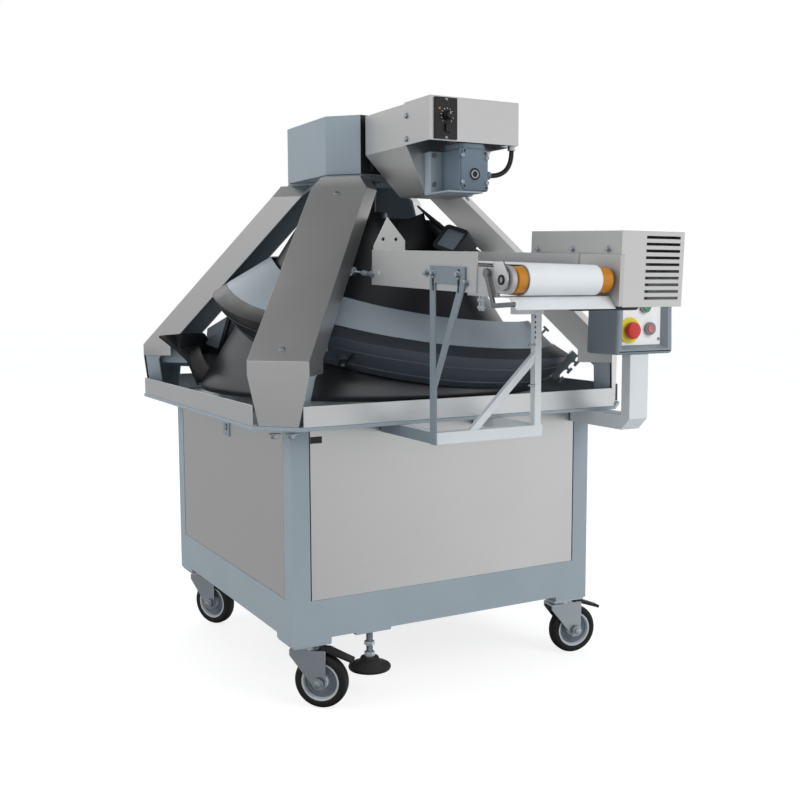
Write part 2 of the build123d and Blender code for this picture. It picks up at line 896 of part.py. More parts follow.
def cap_row(z, inset, depth):
    # Outline of a cover's cap at one height: it leans in and narrows on its way up
    share = (z - cover_cap_height) / (cover_top_height - cover_cap_height)
    half = column_width / 2 - (column_width - cover_cap_width) / 2 * share - inset
    front = cover_cap_radius - cover_cap_lean * share - inset
    back = front - depth
    return Pos(0, 0, z) * Polygon((front, half), (back, half), (back, -half), (front, -half), align=None)


def make_columns():
    half = column_width / 2 - cover_sheet - seam_gap
    outline = [(leg_outside, deck_top), (leg_outside, frame_sum - leg_outside),
               (frame_sum - head_bottom, head_bottom), (frame_inner_sum - head_bottom, head_bottom),
               (leg_inside, frame_inner_sum - leg_inside), (leg_inside, deck_top)]
    above = head_bottom + 9
    pocket = [(leg_web, deck_top - 1), (leg_web, web_bend), (web_sum - above, above), (0, above),
              (0, deck_top - 1)]
    inside = half - frame_sheet
    frame = outline_xz(outline, -half, half) & tapered_leg(half)
    frame -= outline_xz(pocket, -inside, inside) & tapered_leg(inside)
    pieces["column_frames"] = group([Rot(Z=a) * frame for a in column_azimuths])

    cover_back = cover_bend_radius - cover_depth
    skirt = [(cover_bend_radius, cover_skirt_height), (cover_bend_radius, cover_bend_height),
             (cover_cap_radius, cover_cap_height), (cover_cap_radius - cover_depth, cover_cap_height),
             (cover_back, cover_bend_height), (cover_back, cover_skirt_height)]
    wide = column_width / 2
    shell = outline_xz(skirt, -wide, wide)
    inner_bend = cover_bend_radius - cover_sheet
    inner_sum = cover_sum - cover_sheet * math.sqrt(2)
    hollow = [(inner_bend, cover_skirt_height - 1), (inner_bend, inner_sum - inner_bend),
              (inner_sum - cover_cap_height - 9, cover_cap_height + 9), (0, cover_cap_height + 9),
              (0, cover_skirt_height - 1)]
    shell -= outline_xz(hollow, -wide + cover_sheet, wide - cover_sheet)
    # The cap leans in over the top of the column, with folded sides
    cap = loft([cap_row(z, 0, cover_depth) for z in (cover_cap_height, cover_top_height)])
    room = 2 * cover_depth
    cap -= loft([cap_row(z, cover_sheet, room) for z in (cover_cap_height - 1, cover_top_height + 1)])
    # The toe is a tapered plate in front of the leg
    toe_half = cover_toe_width / 2
    toe_points = [(-wide, cover_skirt_height), (wide, cover_skirt_height), (toe_half, deck_top),
                  (-toe_half, deck_top)]
    toe = outline_yz(toe_points, cover_bend_radius - cover_sheet, cover_bend_radius)
    cover = shell + cap + toe
    pieces["column_covers"] = group([Rot(Z=a) * cover for a in column_azimuths])


# Head
head_plate_top = head_bottom + head_plate_thickness


def make_head():
    outer = outline_xy(chamfered_square(head_width, head_chamfer), head_bottom, head_top)
    inside_width = head_width - 2 * head_sheet
    inside_chamfer = head_chamfer - head_sheet * (2 - math.sqrt(2))
    inside_top = head_top - head_sheet
    inner = outline_xy(chamfered_square(inside_width, inside_chamfer), head_bottom - 1, inside_top)
    pieces["head_cover"] = outer - inner
    plate_width = inside_width - 2 * seam_gap
    plate = outline_xy(chamfered_square(plate_width, inside_chamfer), head_bottom, head_plate_top)
    plate -= upright(0, 0, head_bottom - 1, head_plate_top + 1, deck_hole)
    pieces["head_plate"] = plate


def flange_bearing(z):
    half = bearing_flange / 2
    body = block(-half, half, -half, half, z, z + bearing_flange_thickness)
    body = fillet(body.edges().filter_by(Axis.Z), 18)
    body += upright(0, 0, z, z + bearing_height, bearing_body)
    return body - upright(0, 0, z - 1, z + bearing_height + 1, shaft_diameter + 2 * shaft_fit)


def make_drive():
    pieces["shaft_bearings"] = group([flange_bearing(deck_top), flange_bearing(head_plate_top)])
    shaft_top = head_plate_top + bearing_height + 8
    pieces["main_shaft"] = upright(0, 0, shaft_bottom, shaft_top, shaft_diameter)
    half = reducer_width / 2
    low = deck_bottom - reducer_height
    reducer = block(-half, half, -half, half, low, deck_bottom)
    reducer = fillet(reducer.edges().filter_by(Axis.Z), reducer_round)
    reducer -= upright(0, 0, low - 1, deck_bottom + 1, shaft_diameter + 2 * shaft_fit)
    axis_height = (low + deck_bottom) / 2 - motor_drop
    motor_start = half + motor_flange_thickness
    motor_end = motor_start + motor_length
    motor = bar_y(0, half, motor_start, axis_height, motor_flange)
    motor += bar_y(0, motor_start, motor_end, axis_height, motor_diameter)
    ceiling = deck_bottom - motor_deck_gap
    motor &= block(-motor_flange, motor_flange, half, motor_end, low - motor_flange, ceiling)
    box_half = motor_box_width / 2
    side = motor_diameter / 2 - motor_box_sink
    box_start = motor_start + motor_box_start
    motor += block(side, side + motor_box_height, box_start, box_start + motor_box_width,
                   axis_height - box_half, axis_height + box_half)
    pieces["main_gearmotor"] = group([reducer, motor])


# Cone
def make_cone():
    top_radius = cone_radius(cone_top)
    slant = math.hypot(1, cone_slope)
    wall = cone_wall * slant
    lip_z = cone_bottom + cone_lip
    lip_radius_in = cone_radius(lip_z) - wall
    outer = [(0, cone_top), (top_radius, cone_top), (cone_radius(lip_z), lip_z),
             (cone_radius(lip_z) - cone_lip_lean, cone_bottom)]
    inner = [(lip_radius_in, cone_bottom), (lip_radius_in, lip_z),
             (top_radius - wall, cone_top - cone_crown), (0, cone_top - cone_crown)]
    shell = revolve(Plane.XZ * Polygon(*(outer + inner), align=None), axis=Axis.Z)
    shell += upright(0, 0, cone_top, hub_top, hub_outer)
    shell -= upright(0, 0, cone_bottom, hub_top + 1, shaft_diameter)
    pieces["cone"] = shell
    ring = upright(0, 0, deck_top, deck_top + skirt_ring_height, 2 * skirt_ring_radius)
    inside = 2 * (skirt_ring_radius - skirt_ring_wall)
    ring -= upright(0, 0, deck_top - 1, deck_top + skirt_ring_height + 1, inside)
    pieces["cone_skirt_ring"] = ring


# Spiral track
def section_face(points, turn, grow=0.0):
    azimuth = math.radians(mouth_azimuth - turn)
    size = section_size(turn)
    radius = lip_radius(turn)
    height = lip_height(turn)
    plane = Plane(origin=(0, 0, 0), x_dir=(math.cos(azimuth), math.sin(azimuth), 0),
                  z_dir=(math.sin(azimuth), -math.cos(azimuth), 0))
    placed = [(radius + out * size, height + up * size) for out, up in points]
    outline = Polygon(*placed, align=None)
    if grow > 0:
        outline = offset(outline, grow, kind=Kind.INTERSECTION)
    return plane * outline


def section_at(turn):
    # The section near the mouth, where the trough opens through a hood into a bell
    if turn >= mouth_turns[-1]:
        return track_section
    index = 0
    while turn > mouth_turns[index + 1]:
        index += 1
    t = (turn - mouth_turns[index]) / (mouth_turns[index + 1] - mouth_turns[index])
    share = t * t * (3 - 2 * t)
    return [(a[0] + (b[0] - a[0]) * share, a[1] + (b[1] - a[1]) * share)
            for a, b in zip(mouth_sections[index], mouth_sections[index + 1])]


def track_run(points, start, end, grow=0.0):
    count = max(2, round((end - start) / track_station_step))
    return loft([section_face(points, start + (end - start) * i / count, grow) for i in range(count + 1)])


def mouth_run(grow=0.0):
    faces = []
    plain_start = mouth_turns[-1]
    for i in range(round(plain_start / mouth_step)):
        faces.append(section_face(section_at(i * mouth_step), i * mouth_step, grow))
    count = round((lower_track_end - plain_start) / track_station_step)
    for i in range(count + 1):
        turn = plain_start + (lower_track_end - plain_start) * i / count
        faces.append(section_face(track_section, turn, grow))
    return loft(faces)


def outlet_frame():
    # Middle of the outlet: first axis outward, second upright, last the way the dough travels
    azimuth = math.radians(mouth_azimuth - upper_track_end)
    radius = lip_radius(upper_track_end) + collar_out
    height = lip_height(upper_track_end) + collar_up
    outward = (math.cos(azimuth), math.sin(azimuth), 0)
    along = (math.sin(azimuth), -math.cos(azimuth), 0)
    origin = (radius * outward[0], radius * outward[1], height)
    return Plane(origin=origin, x_dir=outward, z_dir=along)


def outlet_collar(grow=0.0, hollow=True):
    # A rounded frame that stands on the end of the track and faces the way the dough travels
    face = RectangleRounded(collar_width + 2 * grow, collar_height + 2 * grow, collar_round + grow)
    if hollow:
        face -= RectangleRounded(collar_width - 2 * collar_wall, collar_height - 2 * collar_wall,
                                 collar_round - collar_wall)
    body = extrude(face, amount=collar_length + 2 * grow, dir=(0, 0, 1))
    return outlet_frame().location * (Pos(0, 0, -collar_sink - grow) * body)


def outlet_guard(grow=0.0):
    # A plate on the cone's side of the collar, which runs on past it and falls away at its end
    low = -collar_height / 2
    crest = collar_height / 2 + guard_crest
    end = guard_length - collar_sink
    points = [(-collar_sink, low), (end, low), (end, crest - guard_fall - guard_end_drop),
              (end - guard_end_drop, crest - guard_fall), (0, crest), (-collar_sink, crest)]
    plane = Plane(origin=(-collar_width / 2 - grow, 0, 0), x_dir=(0, 0, 1), z_dir=(1, 0, 0))
    outline = [(along, -up) for along, up in points]
    face = Polygon(*outline, align=None)
    if grow > 0:
        face = offset(face, grow, kind=Kind.INTERSECTION)
    return outlet_frame().location * extrude(plane * face, amount=guard_sheet + 2 * grow, dir=(1, 0, 0))


def track_flange(turn, forward):
    # A bolted end plate that follows the outside of the section
    outside = track_section[2:5]
    inner = [(p[0] - track_flange_root * 0.8, p[1] + track_flange_root * 0.6) for p in outside]
    outer = [(p[0] + track_flange_reach * 0.8, p[1] - track_flange_reach * 0.6) for p in outside]
    face = section_face(inner + outer[::-1], turn)
    azimuth = math.radians(mouth_azimuth - turn)
    along = (forward * math.sin(azimuth), -forward * math.cos(azimuth), 0)
    return extrude(face, amount=track_flange_thickness, dir=along)


def make_track():
    lower = mouth_run()
    front = track_run(track_section, front_track_start, front_track_end)
    upper = track_run(track_section, upper_track_start, upper_track_end)
    upper += outlet_collar() + outlet_guard()
    lower += track_flange(lower_track_end, -1)
    front += track_flange(front_track_start, 1)
    front += clamp_frame().location * clamp_boss()
    front -= clamp_frame().location * clamp_bore()
    pieces["track_lower"] = lower
    pieces["track_front"] = front
    pieces["track_upper"] = upper
    front_cover = track_run(front_cover_section, front_cover_start, front_track_end)
    upper_cover = track_run(upper_cover_section, upper_track_start, upper_track_end)
    upper_cover -= outlet_collar(seam_gap, False)
    upper_cover -= outlet_guard(seam_gap)
    pieces["track_covers"] = group([front_cover, upper_cover])


def track_wall(turn, side):
    # Points just inside the track's wall where a plate off to one side of a column meets it
    rows = []
    for y in (side * (bracket_spread - bracket_thickness), side * bracket_spread):
        shifted = turn - math.degrees(math.atan2(y, lip_radius(turn)))
        size = section_size(shifted)
        radius = lip_radius(shifted)
        height = lip_height(shifted)
        row = []
        for out, up in section_at(shifted)[3:5]:
            reach = radius + out * size
            row.append((math.sqrt(reach * reach - y * y), height + up * size))
        rows.append(row)
    return [(min(rows[0][i][0], rows[1][i][0]) - bracket_bite, rows[1][i][1]) for i in range(2)]


def make_brackets():
    arms = []
    clear = [mouth_run(seam_gap), track_run(track_section, front_track_start, front_track_end, seam_gap),
             track_run(track_section, upper_track_start, upper_track_end, seam_gap)]
    for azimuth, lap in bracket_seats:
        turn = (mouth_azimuth - azimuth) % 360 + lap
        for side in (-1, 1):
            wall = track_wall(turn, side)
            low = wall[0][1] - bracket_drop
            high = wall[1][1]
            points = [wall[0], wall[1], (min(leg_web, web_sum - high), high)]
            if low < web_bend < high:
                points.append((leg_web, web_bend))
            points.append((min(leg_web, web_sum - low), low))
            points.append((wall[0][0], low))
            near = side * (bracket_spread - bracket_thickness)
            arm = Rot(Z=azimuth) * outline_xz(points, near, side * bracket_spread)
            for run in clear:
                arm -= run
            arms.append(max(arm.solids(), key=lambda solid: solid.volume))
    pieces["track_brackets"] = group(arms)


# Clamp lever on the front casting
def clamp_frame():
    # Origin on the outer wall of the casting, first axis to the right along it,
    # last axis square to the wall and outward
    azimuth = math.radians(mouth_azimuth - clamp_turn)
    size = section_size(clamp_turn)
    low = track_section[2]
    high = track_section[3]
    middle = ((low[0] + high[0]) / 2 * size, (low[1] + high[1]) / 2 * size)
    radius = lip_radius(clamp_turn) + middle[0]
    height = lip_height(clamp_turn) + middle[1]
    run = math.hypot(high[0] - low[0], high[1] - low[1])
    out = (high[1] - low[1]) / run
    down = -(high[0] - low[0]) / run
    origin = (radius * math.cos(azimuth), radius * math.sin(azimuth), height)
    normal = (out * math.cos(azimuth), out * math.sin(azimuth), down)
    right = (-math.sin(azimuth), math.cos(azimuth), 0)
    return Plane(origin=origin, x_dir=right, z_dir=normal)


def clamp_boss():
    length = clamp_boss_length + clamp_boss_root
    return Pos(0, 0, clamp_boss_length - length / 2) * Cylinder(clamp_boss_diameter / 2, length)


def clamp_bore():
    depth = clamp_pin_length + running_gap
    return Pos(0, 0, clamp_boss_length - depth / 2) * Cylinder(clamp_pin_diameter / 2 + shaft_fit, depth)


def clamp_lever():
    base = clamp_boss_length + running_gap
    thick = clamp_arm_thickness
    hub = Pos(0, 0, base + thick / 2) * Cylinder(clamp_boss_diameter / 2, thick)
    pin = Pos(0, 0, base - clamp_pin_length / 2) * Cylinder(clamp_pin_diameter / 2, clamp_pin_length)
    lever = hub + pin
    for side in (-1, 1):
        arm = Pos(clamp_arm_length / 2, 0, base + thick / 2) * Box(clamp_arm_length, thick, thick)
        knob = Pos(clamp_arm_length, 0, base + thick / 2) * Cylinder(clamp_knob_diameter / 2, thick)
        lever += Rot(Z=side * clamp_arm_spread) * (arm + knob)
    return lever


def make_clamp():
    pieces["track_clamp_lever"] = clamp_frame().location * clamp_lever()


# Flour duster
hopper_width = control_box_width - 2 * hopper_sheet - 2 * seam_gap


def funnel(shrink, low, high):
    # Box above, four sided funnel below, drawn smaller all round by shrink
    half = hopper_width / 2 - shrink
    back = hopper_back - shrink
    front = hopper_front + shrink
    slot = hopper_slot_half - shrink
    slot_back = hopper_slot_back - shrink
    top = Polygon((-half, front), (half, front), (half, back), (-half, back), align=None)
    end = Polygon((-slot, front), (slot, front), (slot, slot_back), (-slot, slot_back), align=None)
    body = loft([Pos(0, 0, hopper_bottom) * end, Pos(0, 0, hopper_waist) * top])
    body += block(-half, half, front, back, hopper_waist, high)
    if low < hopper_bottom:
        body += block(-slot, slot, front, slot_back, low, hopper_bottom)
    return body


def make_hopper():
    hopper = funnel(0, hopper_bottom, hopper_top) - funnel(hopper_sheet, hopper_bottom - 5, hopper_top + 5)
    for side in (-1, 1):
        outer = side * hopper_width / 2
        inner = outer - side * hopper_sheet
        hopper += block(inner, outer, hopper_side_front, hopper_front + 1, hopper_waist, hopper_top)
    bore = dosing_shaft_diameter + 2 * shaft_fit
    hopper -= bar_y(0, hopper_front - 5, hopper_front + 10, dosing_height, bore)
    pieces["flour_hopper"] = hopper

    roller_front = hopper_front + hopper_sheet + dosing_clear
    roller_back = hopper_slot_back - dosing_clear
    roller = bar_y(0, roller_front, roller_back, dosing_height, dosing_diameter)
    for i in range(dosing_flutes):
        angle = 2 * math.pi * i / dosing_flutes
        x = dosing_diameter / 2 * math.sin(angle)
        z = dosing_height + dosing_diameter / 2 * math.cos(angle)
        roller -= bar_y(x, roller_front - 1, roller_back + 1, z, 2 * dosing_flute_depth)
    roller += bar_y(0, dosing_shaft_front, roller_front, dosing_height, dosing_shaft_diameter)
    pieces["dosing_roller"] = roller


def make_duster_drive():
    half = gearbox_width / 2
    arm = block(-arm_plate_width / 2, arm_plate_width / 2, hopper_back, -head_width / 2, arm_plate_bottom,
                arm_plate_top)
    sheet = saddle_sheet
    saddle = block(saddle_left, saddle_right, gearbox_back, hopper_front, saddle_bottom, saddle_top)
    saddle -= block(saddle_left + sheet, saddle_right - sheet, gearbox_back + sheet, hopper_front + 1,
                    saddle_bottom - 1, saddle_top + 1)
    floor_top = saddle_bottom + sheet
    saddle += block(saddle_left, saddle_lip_right, gearbox_front, gearbox_back, saddle_bottom, floor_top)
    bore = dosing_shaft_diameter + 2 * shaft_fit
    saddle -= bar_y(0, gearbox_front - 5, hopper_front + 5, dosing_height, bore)
    pieces["duster_brackets"] = group([arm, saddle])

    cut = gearbox_corner
    low = floor_top
    outline = [(-half, low), (half, low), (half, gearbox_top - cut), (half - cut, gearbox_top),
               (-half, gearbox_top)]
    box = outline_xz(outline, gearbox_front, gearbox_back)
    box = fillet(box.edges().filter_by(Axis.Y), gearbox_round)
    boss_front = gearbox_front - gearbox_boss_height
    box += bar_y(0, boss_front, gearbox_front, dosing_height, gearbox_boss)
    box -= bar_y(0, boss_front - 1, gearbox_back + 1, dosing_height, bore)
    box += bar_x(half, half + gland_length, cable_y, dosing_height, gland_diameter)
    motor_y = (gearbox_front + gearbox_back) / 2
    flange_top = gearbox_top + duster_motor_flange_height
    motor = upright(0, motor_y, gearbox_top, flange_top, duster_motor_flange)
    motor += upright(0, motor_y, flange_top, duster_motor_top, duster_motor_diameter)
    motor &= block(-half, half, gearbox_front, gearbox_back, gearbox_top, duster_motor_top)
    pieces["duster_gearmotor"] = group([box, motor])


toggle_pin_y = control_box_front - module_thickness + toggle_pin / 2 + shaft_fit


def make_control_box():
    half = control_box_width / 2
    sheet = hopper_sheet
    shell = block(-half, half, control_box_front, control_box_back, control_box_bottom, control_box_top)
    shell -= block(-half + sheet, half - sheet, control_box_front + sheet, control_box_back + 1,
                   control_box_bottom - 1, control_box_top - sheet)
    tab_left = cable_x - gland_diameter
    shell += block(tab_left, half - 1, control_box_front + 1, cable_y + gland_diameter, control_box_bottom,
                   control_box_bottom + sheet)
    shell += upright(cable_x, cable_y, control_box_bottom - gland_length, control_box_bottom, gland_diameter)
    pieces["duster_control_box"] = shell

    face = control_box_front - module_thickness
    module = block(module_left, module_right, face, control_box_front, module_bottom, module_top)
    module -= bar_y(knob_x, face - 1, control_box_front + 1, knob_height, knob_shaft + 2 * shaft_fit)
    room = toggle_width / 2 + 1
    tall = toggle_tall / 2 + 1
    module -= block(knob_x - room, knob_x + room, face - 1, control_box_front + 1, toggle_height - tall,
                    toggle_height + tall)
    ear = room + toggle_pin
    module -= bar_x(knob_x - ear, knob_x + ear, toggle_pin_y, toggle_height, toggle_pin + 2 * shaft_fit)
    pieces["speed_controller"] = module
    knob_front = face - running_gap - knob_length
    knob = bar_y(knob_x, knob_front, face - running_gap, knob_height, knob_diameter)
    knob -= block(knob_x - knob_mark_width / 2, knob_x + knob_mark_width / 2, knob_front - 1,
                  knob_front + knob_mark_depth, knob_height + knob_mark_width, knob_height + knob_diameter)
    knob += bar_y(knob_x, face - running_gap, control_box_front, knob_height, knob_shaft)
    pieces["speed_knob"] = knob
    rocker = block(knob_x - toggle_width / 2, knob_x + toggle_width / 2, face - toggle_stick, face + 3,
                   toggle_height - toggle_tall / 2, toggle_height + toggle_tall / 2)
    ear -= running_gap
    rocker += bar_x(knob_x - ear, knob_x + ear, toggle_pin_y, toggle_height, toggle_pin)
    pieces["power_toggle"] = rocker

    start = control_box_bottom - gland_length
    end = gearbox_width / 2 + gland_length
    route = FilletPolyline((cable_x, cable_y, start), (cable_x, cable_y, dosing_height),
                           (end, cable_y, dosing_height), radius=cable_bend)
    ring = Plane(origin=(cable_x, cable_y, start), z_dir=(0, 0, -1)) * Circle(cable_diameter / 2)
    pieces["duster_cable"] = sweep(ring, path=route)


# Conveyor
def tilted(shape):
    return Pos(0, roller_y, roller_z) * Rot(X=conveyor_tilt) * shape


belt_inside = roller_diameter / 2 + seam_gap
belt_outside = belt_inside + belt_sheet
cheek_left = guide_left + guide_sheet
plate_x = guide_right


def stadium(radius, x0, x1):
    body = block(x0, x1, 0, idler_back, -radius, radius)
    body += bar_x(x0, x1, 0, 0, radius * 2)
    body += bar_x(x0, x1, idler_back, 0, radius * 2)
    return body


def make_conveyor_frame():
    left = block(guide_left, cheek_left, guide_front, guide_back, guide_bottom, guide_top)
    right = block(guide_right - guide_sheet, guide_right, guide_front, guide_back, guide_bottom, guide_top)
    cheek_right = cheek_left + cheek_sheet
    cheek = bar_x(cheek_left, cheek_right, 0, 0, 2 * cheek_round)
    cheek += block(cheek_left, cheek_right, 0, cheek_back, cheek_bottom + cheek_toe, cheek_top)
    cheek += block(cheek_left, cheek_right, cheek_toe_start, cheek_back, cheek_bottom, cheek_top)
    plate_end = plate_x + side_plate_sheet
    plate = block(plate_x, plate_end, side_plate_front, side_plate_back, side_plate_bottom,
                  motor_cover_apron)
    plate += block(plate_x, plate_end, side_plate_foot_start, side_plate_foot_end, side_plate_foot,
                   side_plate_bottom)
    shelf_end = motor_cover_left + shelf_reach
    shelf_bottom = motor_cover_apron - guide_sheet
    plate += block(plate_end, shelf_end, motor_cover_front, motor_cover_back, shelf_bottom,
                   motor_cover_apron)
    frame = left + right + cheek + plate
    half = cross_tube / 2
    for y in (cross_tube_front, cross_tube_back):
        frame += block(guide_left + 1, guide_right - 1, y - half, y + half, -half, half)
    bed_top = belt_inside - bed_drop
    frame += block(belt_left, belt_right, bed_front, bed_back, bed_top - bed_sheet, bed_top)
    for y in (cross_tube_front, cross_tube_back):
        frame += block(belt_left + bed_inset, belt_right - bed_inset, y - half, y + half, half - 1,
                       bed_top - 1)
    frame -= bar_x(guide_left - 1, plate_end + 1, 0, 0, roller_shaft + 2 * shaft_fit)
    frame -= bar_x(guide_left - 1, plate_end + 1, idler_back, 0, idler_shaft + 2 * shaft_fit)
    frame -= bar_x(guide_left - 1, cheek_right + 1, lever_pivot_y, lever_pivot_z, lever_pin + 2 * shaft_fit)
    pieces["conveyor_frame"] = tilted(frame)


def make_conveyor():
    belt = stadium(belt_outside, belt_left, belt_right) - stadium(belt_inside, belt_left - 1, belt_right + 1)
    pieces["conveyor_belt"] = tilted(belt)
    core_right = belt_right - roller_core_right
    core_left = belt_left + roller_core_left
    core = bar_x(core_left, core_right, 0, 0, roller_diameter)
    core += bar_x(roller_shaft_left, plate_x + side_plate_sheet, 0, 0, roller_shaft)
    core += bar_x(plate_x + side_plate_sheet, roller_journal_right, 0, 0, roller_journal)
    caps = []
    for x0, x1 in ((roller_left, core_left), (core_right, roller_right)):
        bore = bar_x(x0 - 1, x1 + 1, 0, 0, roller_shaft)
        caps.append(bar_x(x0, x1, 0, 0, roller_end_diameter) - bore)
    pieces["drive_roller"] = tilted(group([core] + caps))
    idler = bar_x(core_left, core_right, idler_back, 0, roller_diameter)
    idler += bar_x(guide_left, guide_right, idler_back, 0, idler_shaft)
    pieces["idler_roller"] = tilted(idler)

    cheek_right = cheek_left + cheek_sheet
    low = -belt_outside - scraper_gap
    sheet = scraper_sheet
    points = [(scraper_back, low), (scraper_back, low - sheet), (0, low - sheet),
              (scraper_front, low - scraper_drop), (scraper_front - sheet, low - scraper_drop + 1),
              (-3, low)]
    pieces["belt_scraper"] = tilted(outline_yz(points, cheek_right, plate_x))

    lever_right = guide_left - running_gap
    lever_left = lever_right - lever_sheet
    lever = bar_x(lever_left, lever_right, lever_pivot_y, lever_pivot_z, lever_boss)
    for start, stop in (((lever_pivot_y, lever_pivot_z), (lever_knee_y, lever_knee_z)),
                        ((lever_knee_y, lever_knee_z), (lever_tip_y, lever_tip_z))):
        run = math.hypot(stop[0] - start[0], stop[1] - start[1])
        angle = math.degrees(math.atan2(stop[1] - start[1], stop[0] - start[0]))
        middle = ((start[0] + stop[0]) / 2, (start[1] + stop[1]) / 2)
        bar = Pos((lever_left + lever_right) / 2, middle[0], middle[1]) * Rot(X=angle)
        lever += bar * Box(lever_sheet, run, lever_width)
        lever += bar_x(lever_left, lever_right, stop[0], stop[1], lever_width)
    lever += bar_x(lever_right, cheek_right, lever_pivot_y, lever_pivot_z, lever_pin)
    pieces["belt_release_lever"] = tilted(lever)

    inner = guide_left + guide_sheet
    chute_back = guide_back - chute_sheet
    foot = belt_outside + chute_gap
    outline = [(inner, foot), (chute_right, foot), (chute_right, chute_shoulder),
               (inner + chute_peak, chute_top), (inner, chute_low)]
    bend = outline_xz(outline, chute_back, guide_back)
    for x in (inner + chute_hole_inset, chute_right - chute_hole_inset):
        bend -= bar_y(x, chute_back - 1, guide_back + 1, chute_hole_height, chute_hole)
    fold = block(inner, inner + chute_sheet, guide_back - chute_fold, guide_back, foot, guide_top)
    pieces["outlet_chute"] = tilted(bend + fold)


def make_conveyor_drive():
    sheet = motor_cover_sheet
    left = motor_cover_left
    right = motor_cover_right
    cover = block(left, right, motor_cover_front, motor_cover_back, motor_cover_bottom, motor_cover_top)
    cover -= block(left + sheet, right - sheet, motor_cover_front + sheet, motor_cover_back - sheet,
                   motor_cover_bottom - 1, motor_cover_top - sheet)
    cover -= block(left - 1, left + shelf_reach, motor_cover_front - 1, motor_cover_back + 1,
                   motor_cover_bottom - 1, motor_cover_apron)
    for i in range(louvre_count):
        z = louvre_bottom + i * louvre_pitch
        cover -= block(louvre_left, louvre_right, motor_cover_front - 1, motor_cover_front + sheet + 1, z,
                       z + louvre_height)
    pieces["motor_cover"] = tilted(cover)
    plate_end = plate_x + side_plate_sheet
    half = drive_body / 2
    block_front = motor_cover_front + sheet + drive_block_gap
    block_back = block_front + drive_block_depth
    body = block(drive_body_left, drive_body_right, block_front, block_back, -half, half)
    body = fillet(body.edges().filter_by(Axis.X), drive_block_round)
    foot = drive_flange / 2
    body += block(plate_end, drive_body_left, block_front, block_back - drive_block_round, -foot, foot)
    body -= bar_x(plate_end - 1, drive_body_right + 1, 0, 0, roller_journal + 2 * shaft_fit)
    middle = (drive_body_left + drive_body_right) / 2
    motor = bar_y(middle, block_back, block_back + drive_motor_length, 0, drive_motor_diameter)
    pieces["conveyor_gearmotor"] = tilted(group([body, motor]))


def make_conveyor_bracket():
    size = arm_tube
    top = deck_bottom
    low = top - size
    tubes = block(arm_left, arm_left + size, arm_front, arm_back, low, top)
    tubes += block(arm_right - size, arm_right, arm_front, arm_back, low, top)
    tubes += block(arm_left, arm_right, arm_front, arm_front + size, low, top)
    post_right = arm_right - post_inset
    post_left = post_right - post_size
    post_back = arm_front + post_size
    tubes += block(post_left, post_right, arm_front, post_back, top - 1, post_top)
    brace_foot = brace_width * math.sqrt(2)
    brace = [(brace_low_x, top - 1), (brace_low_x + brace_foot, top - 1),
             (post_left + 1, brace_high_z - brace_foot), (post_left + 1, brace_high_z)]
    tubes += outline_xz(brace, arm_front + brace_inset, post_back - brace_inset)
    cap_front = arm_front - post_cap_proud
    cap_back = arm_front + size + post_cap_proud
    tubes += block(post_cap_left, arm_right, cap_front, cap_back, post_top - 1, post_cap_top)
    back = vee_back
    front = vee_front
    leg = back - vee_bar - vee_edge
    outline = [(back, low), (back, vee_top), (front, vee_top - vee_slope),
               (front, vee_top - vee_head - vee_slope), (leg, vee_fork - vee_heel), (leg, low)]
    plate = outline_yz(outline, guide_left - vee_sheet, guide_left)
    gap = [(back - vee_bar, vee_top - vee_head), (front + vee_bar + vee_edge, vee_top - vee_head - vee_edge),
           (back - vee_bar, vee_fork)]
    plate -= outline_yz(gap, guide_left - vee_sheet - 1, guide_left + 1)
    slot_half = vee_slot / 2
    for y in (back - vee_bar * 0.6, front + vee_bar * 1.1):
        plate -= block(guide_left - vee_sheet - 1, guide_left + 1, y - slot_half, y + slot_half,
                       vee_top - vee_head - 6, vee_top - 10)
    pieces["conveyor_bracket"] = group([tubes, plate])


# Control station
plate_front = station_front + station_recess


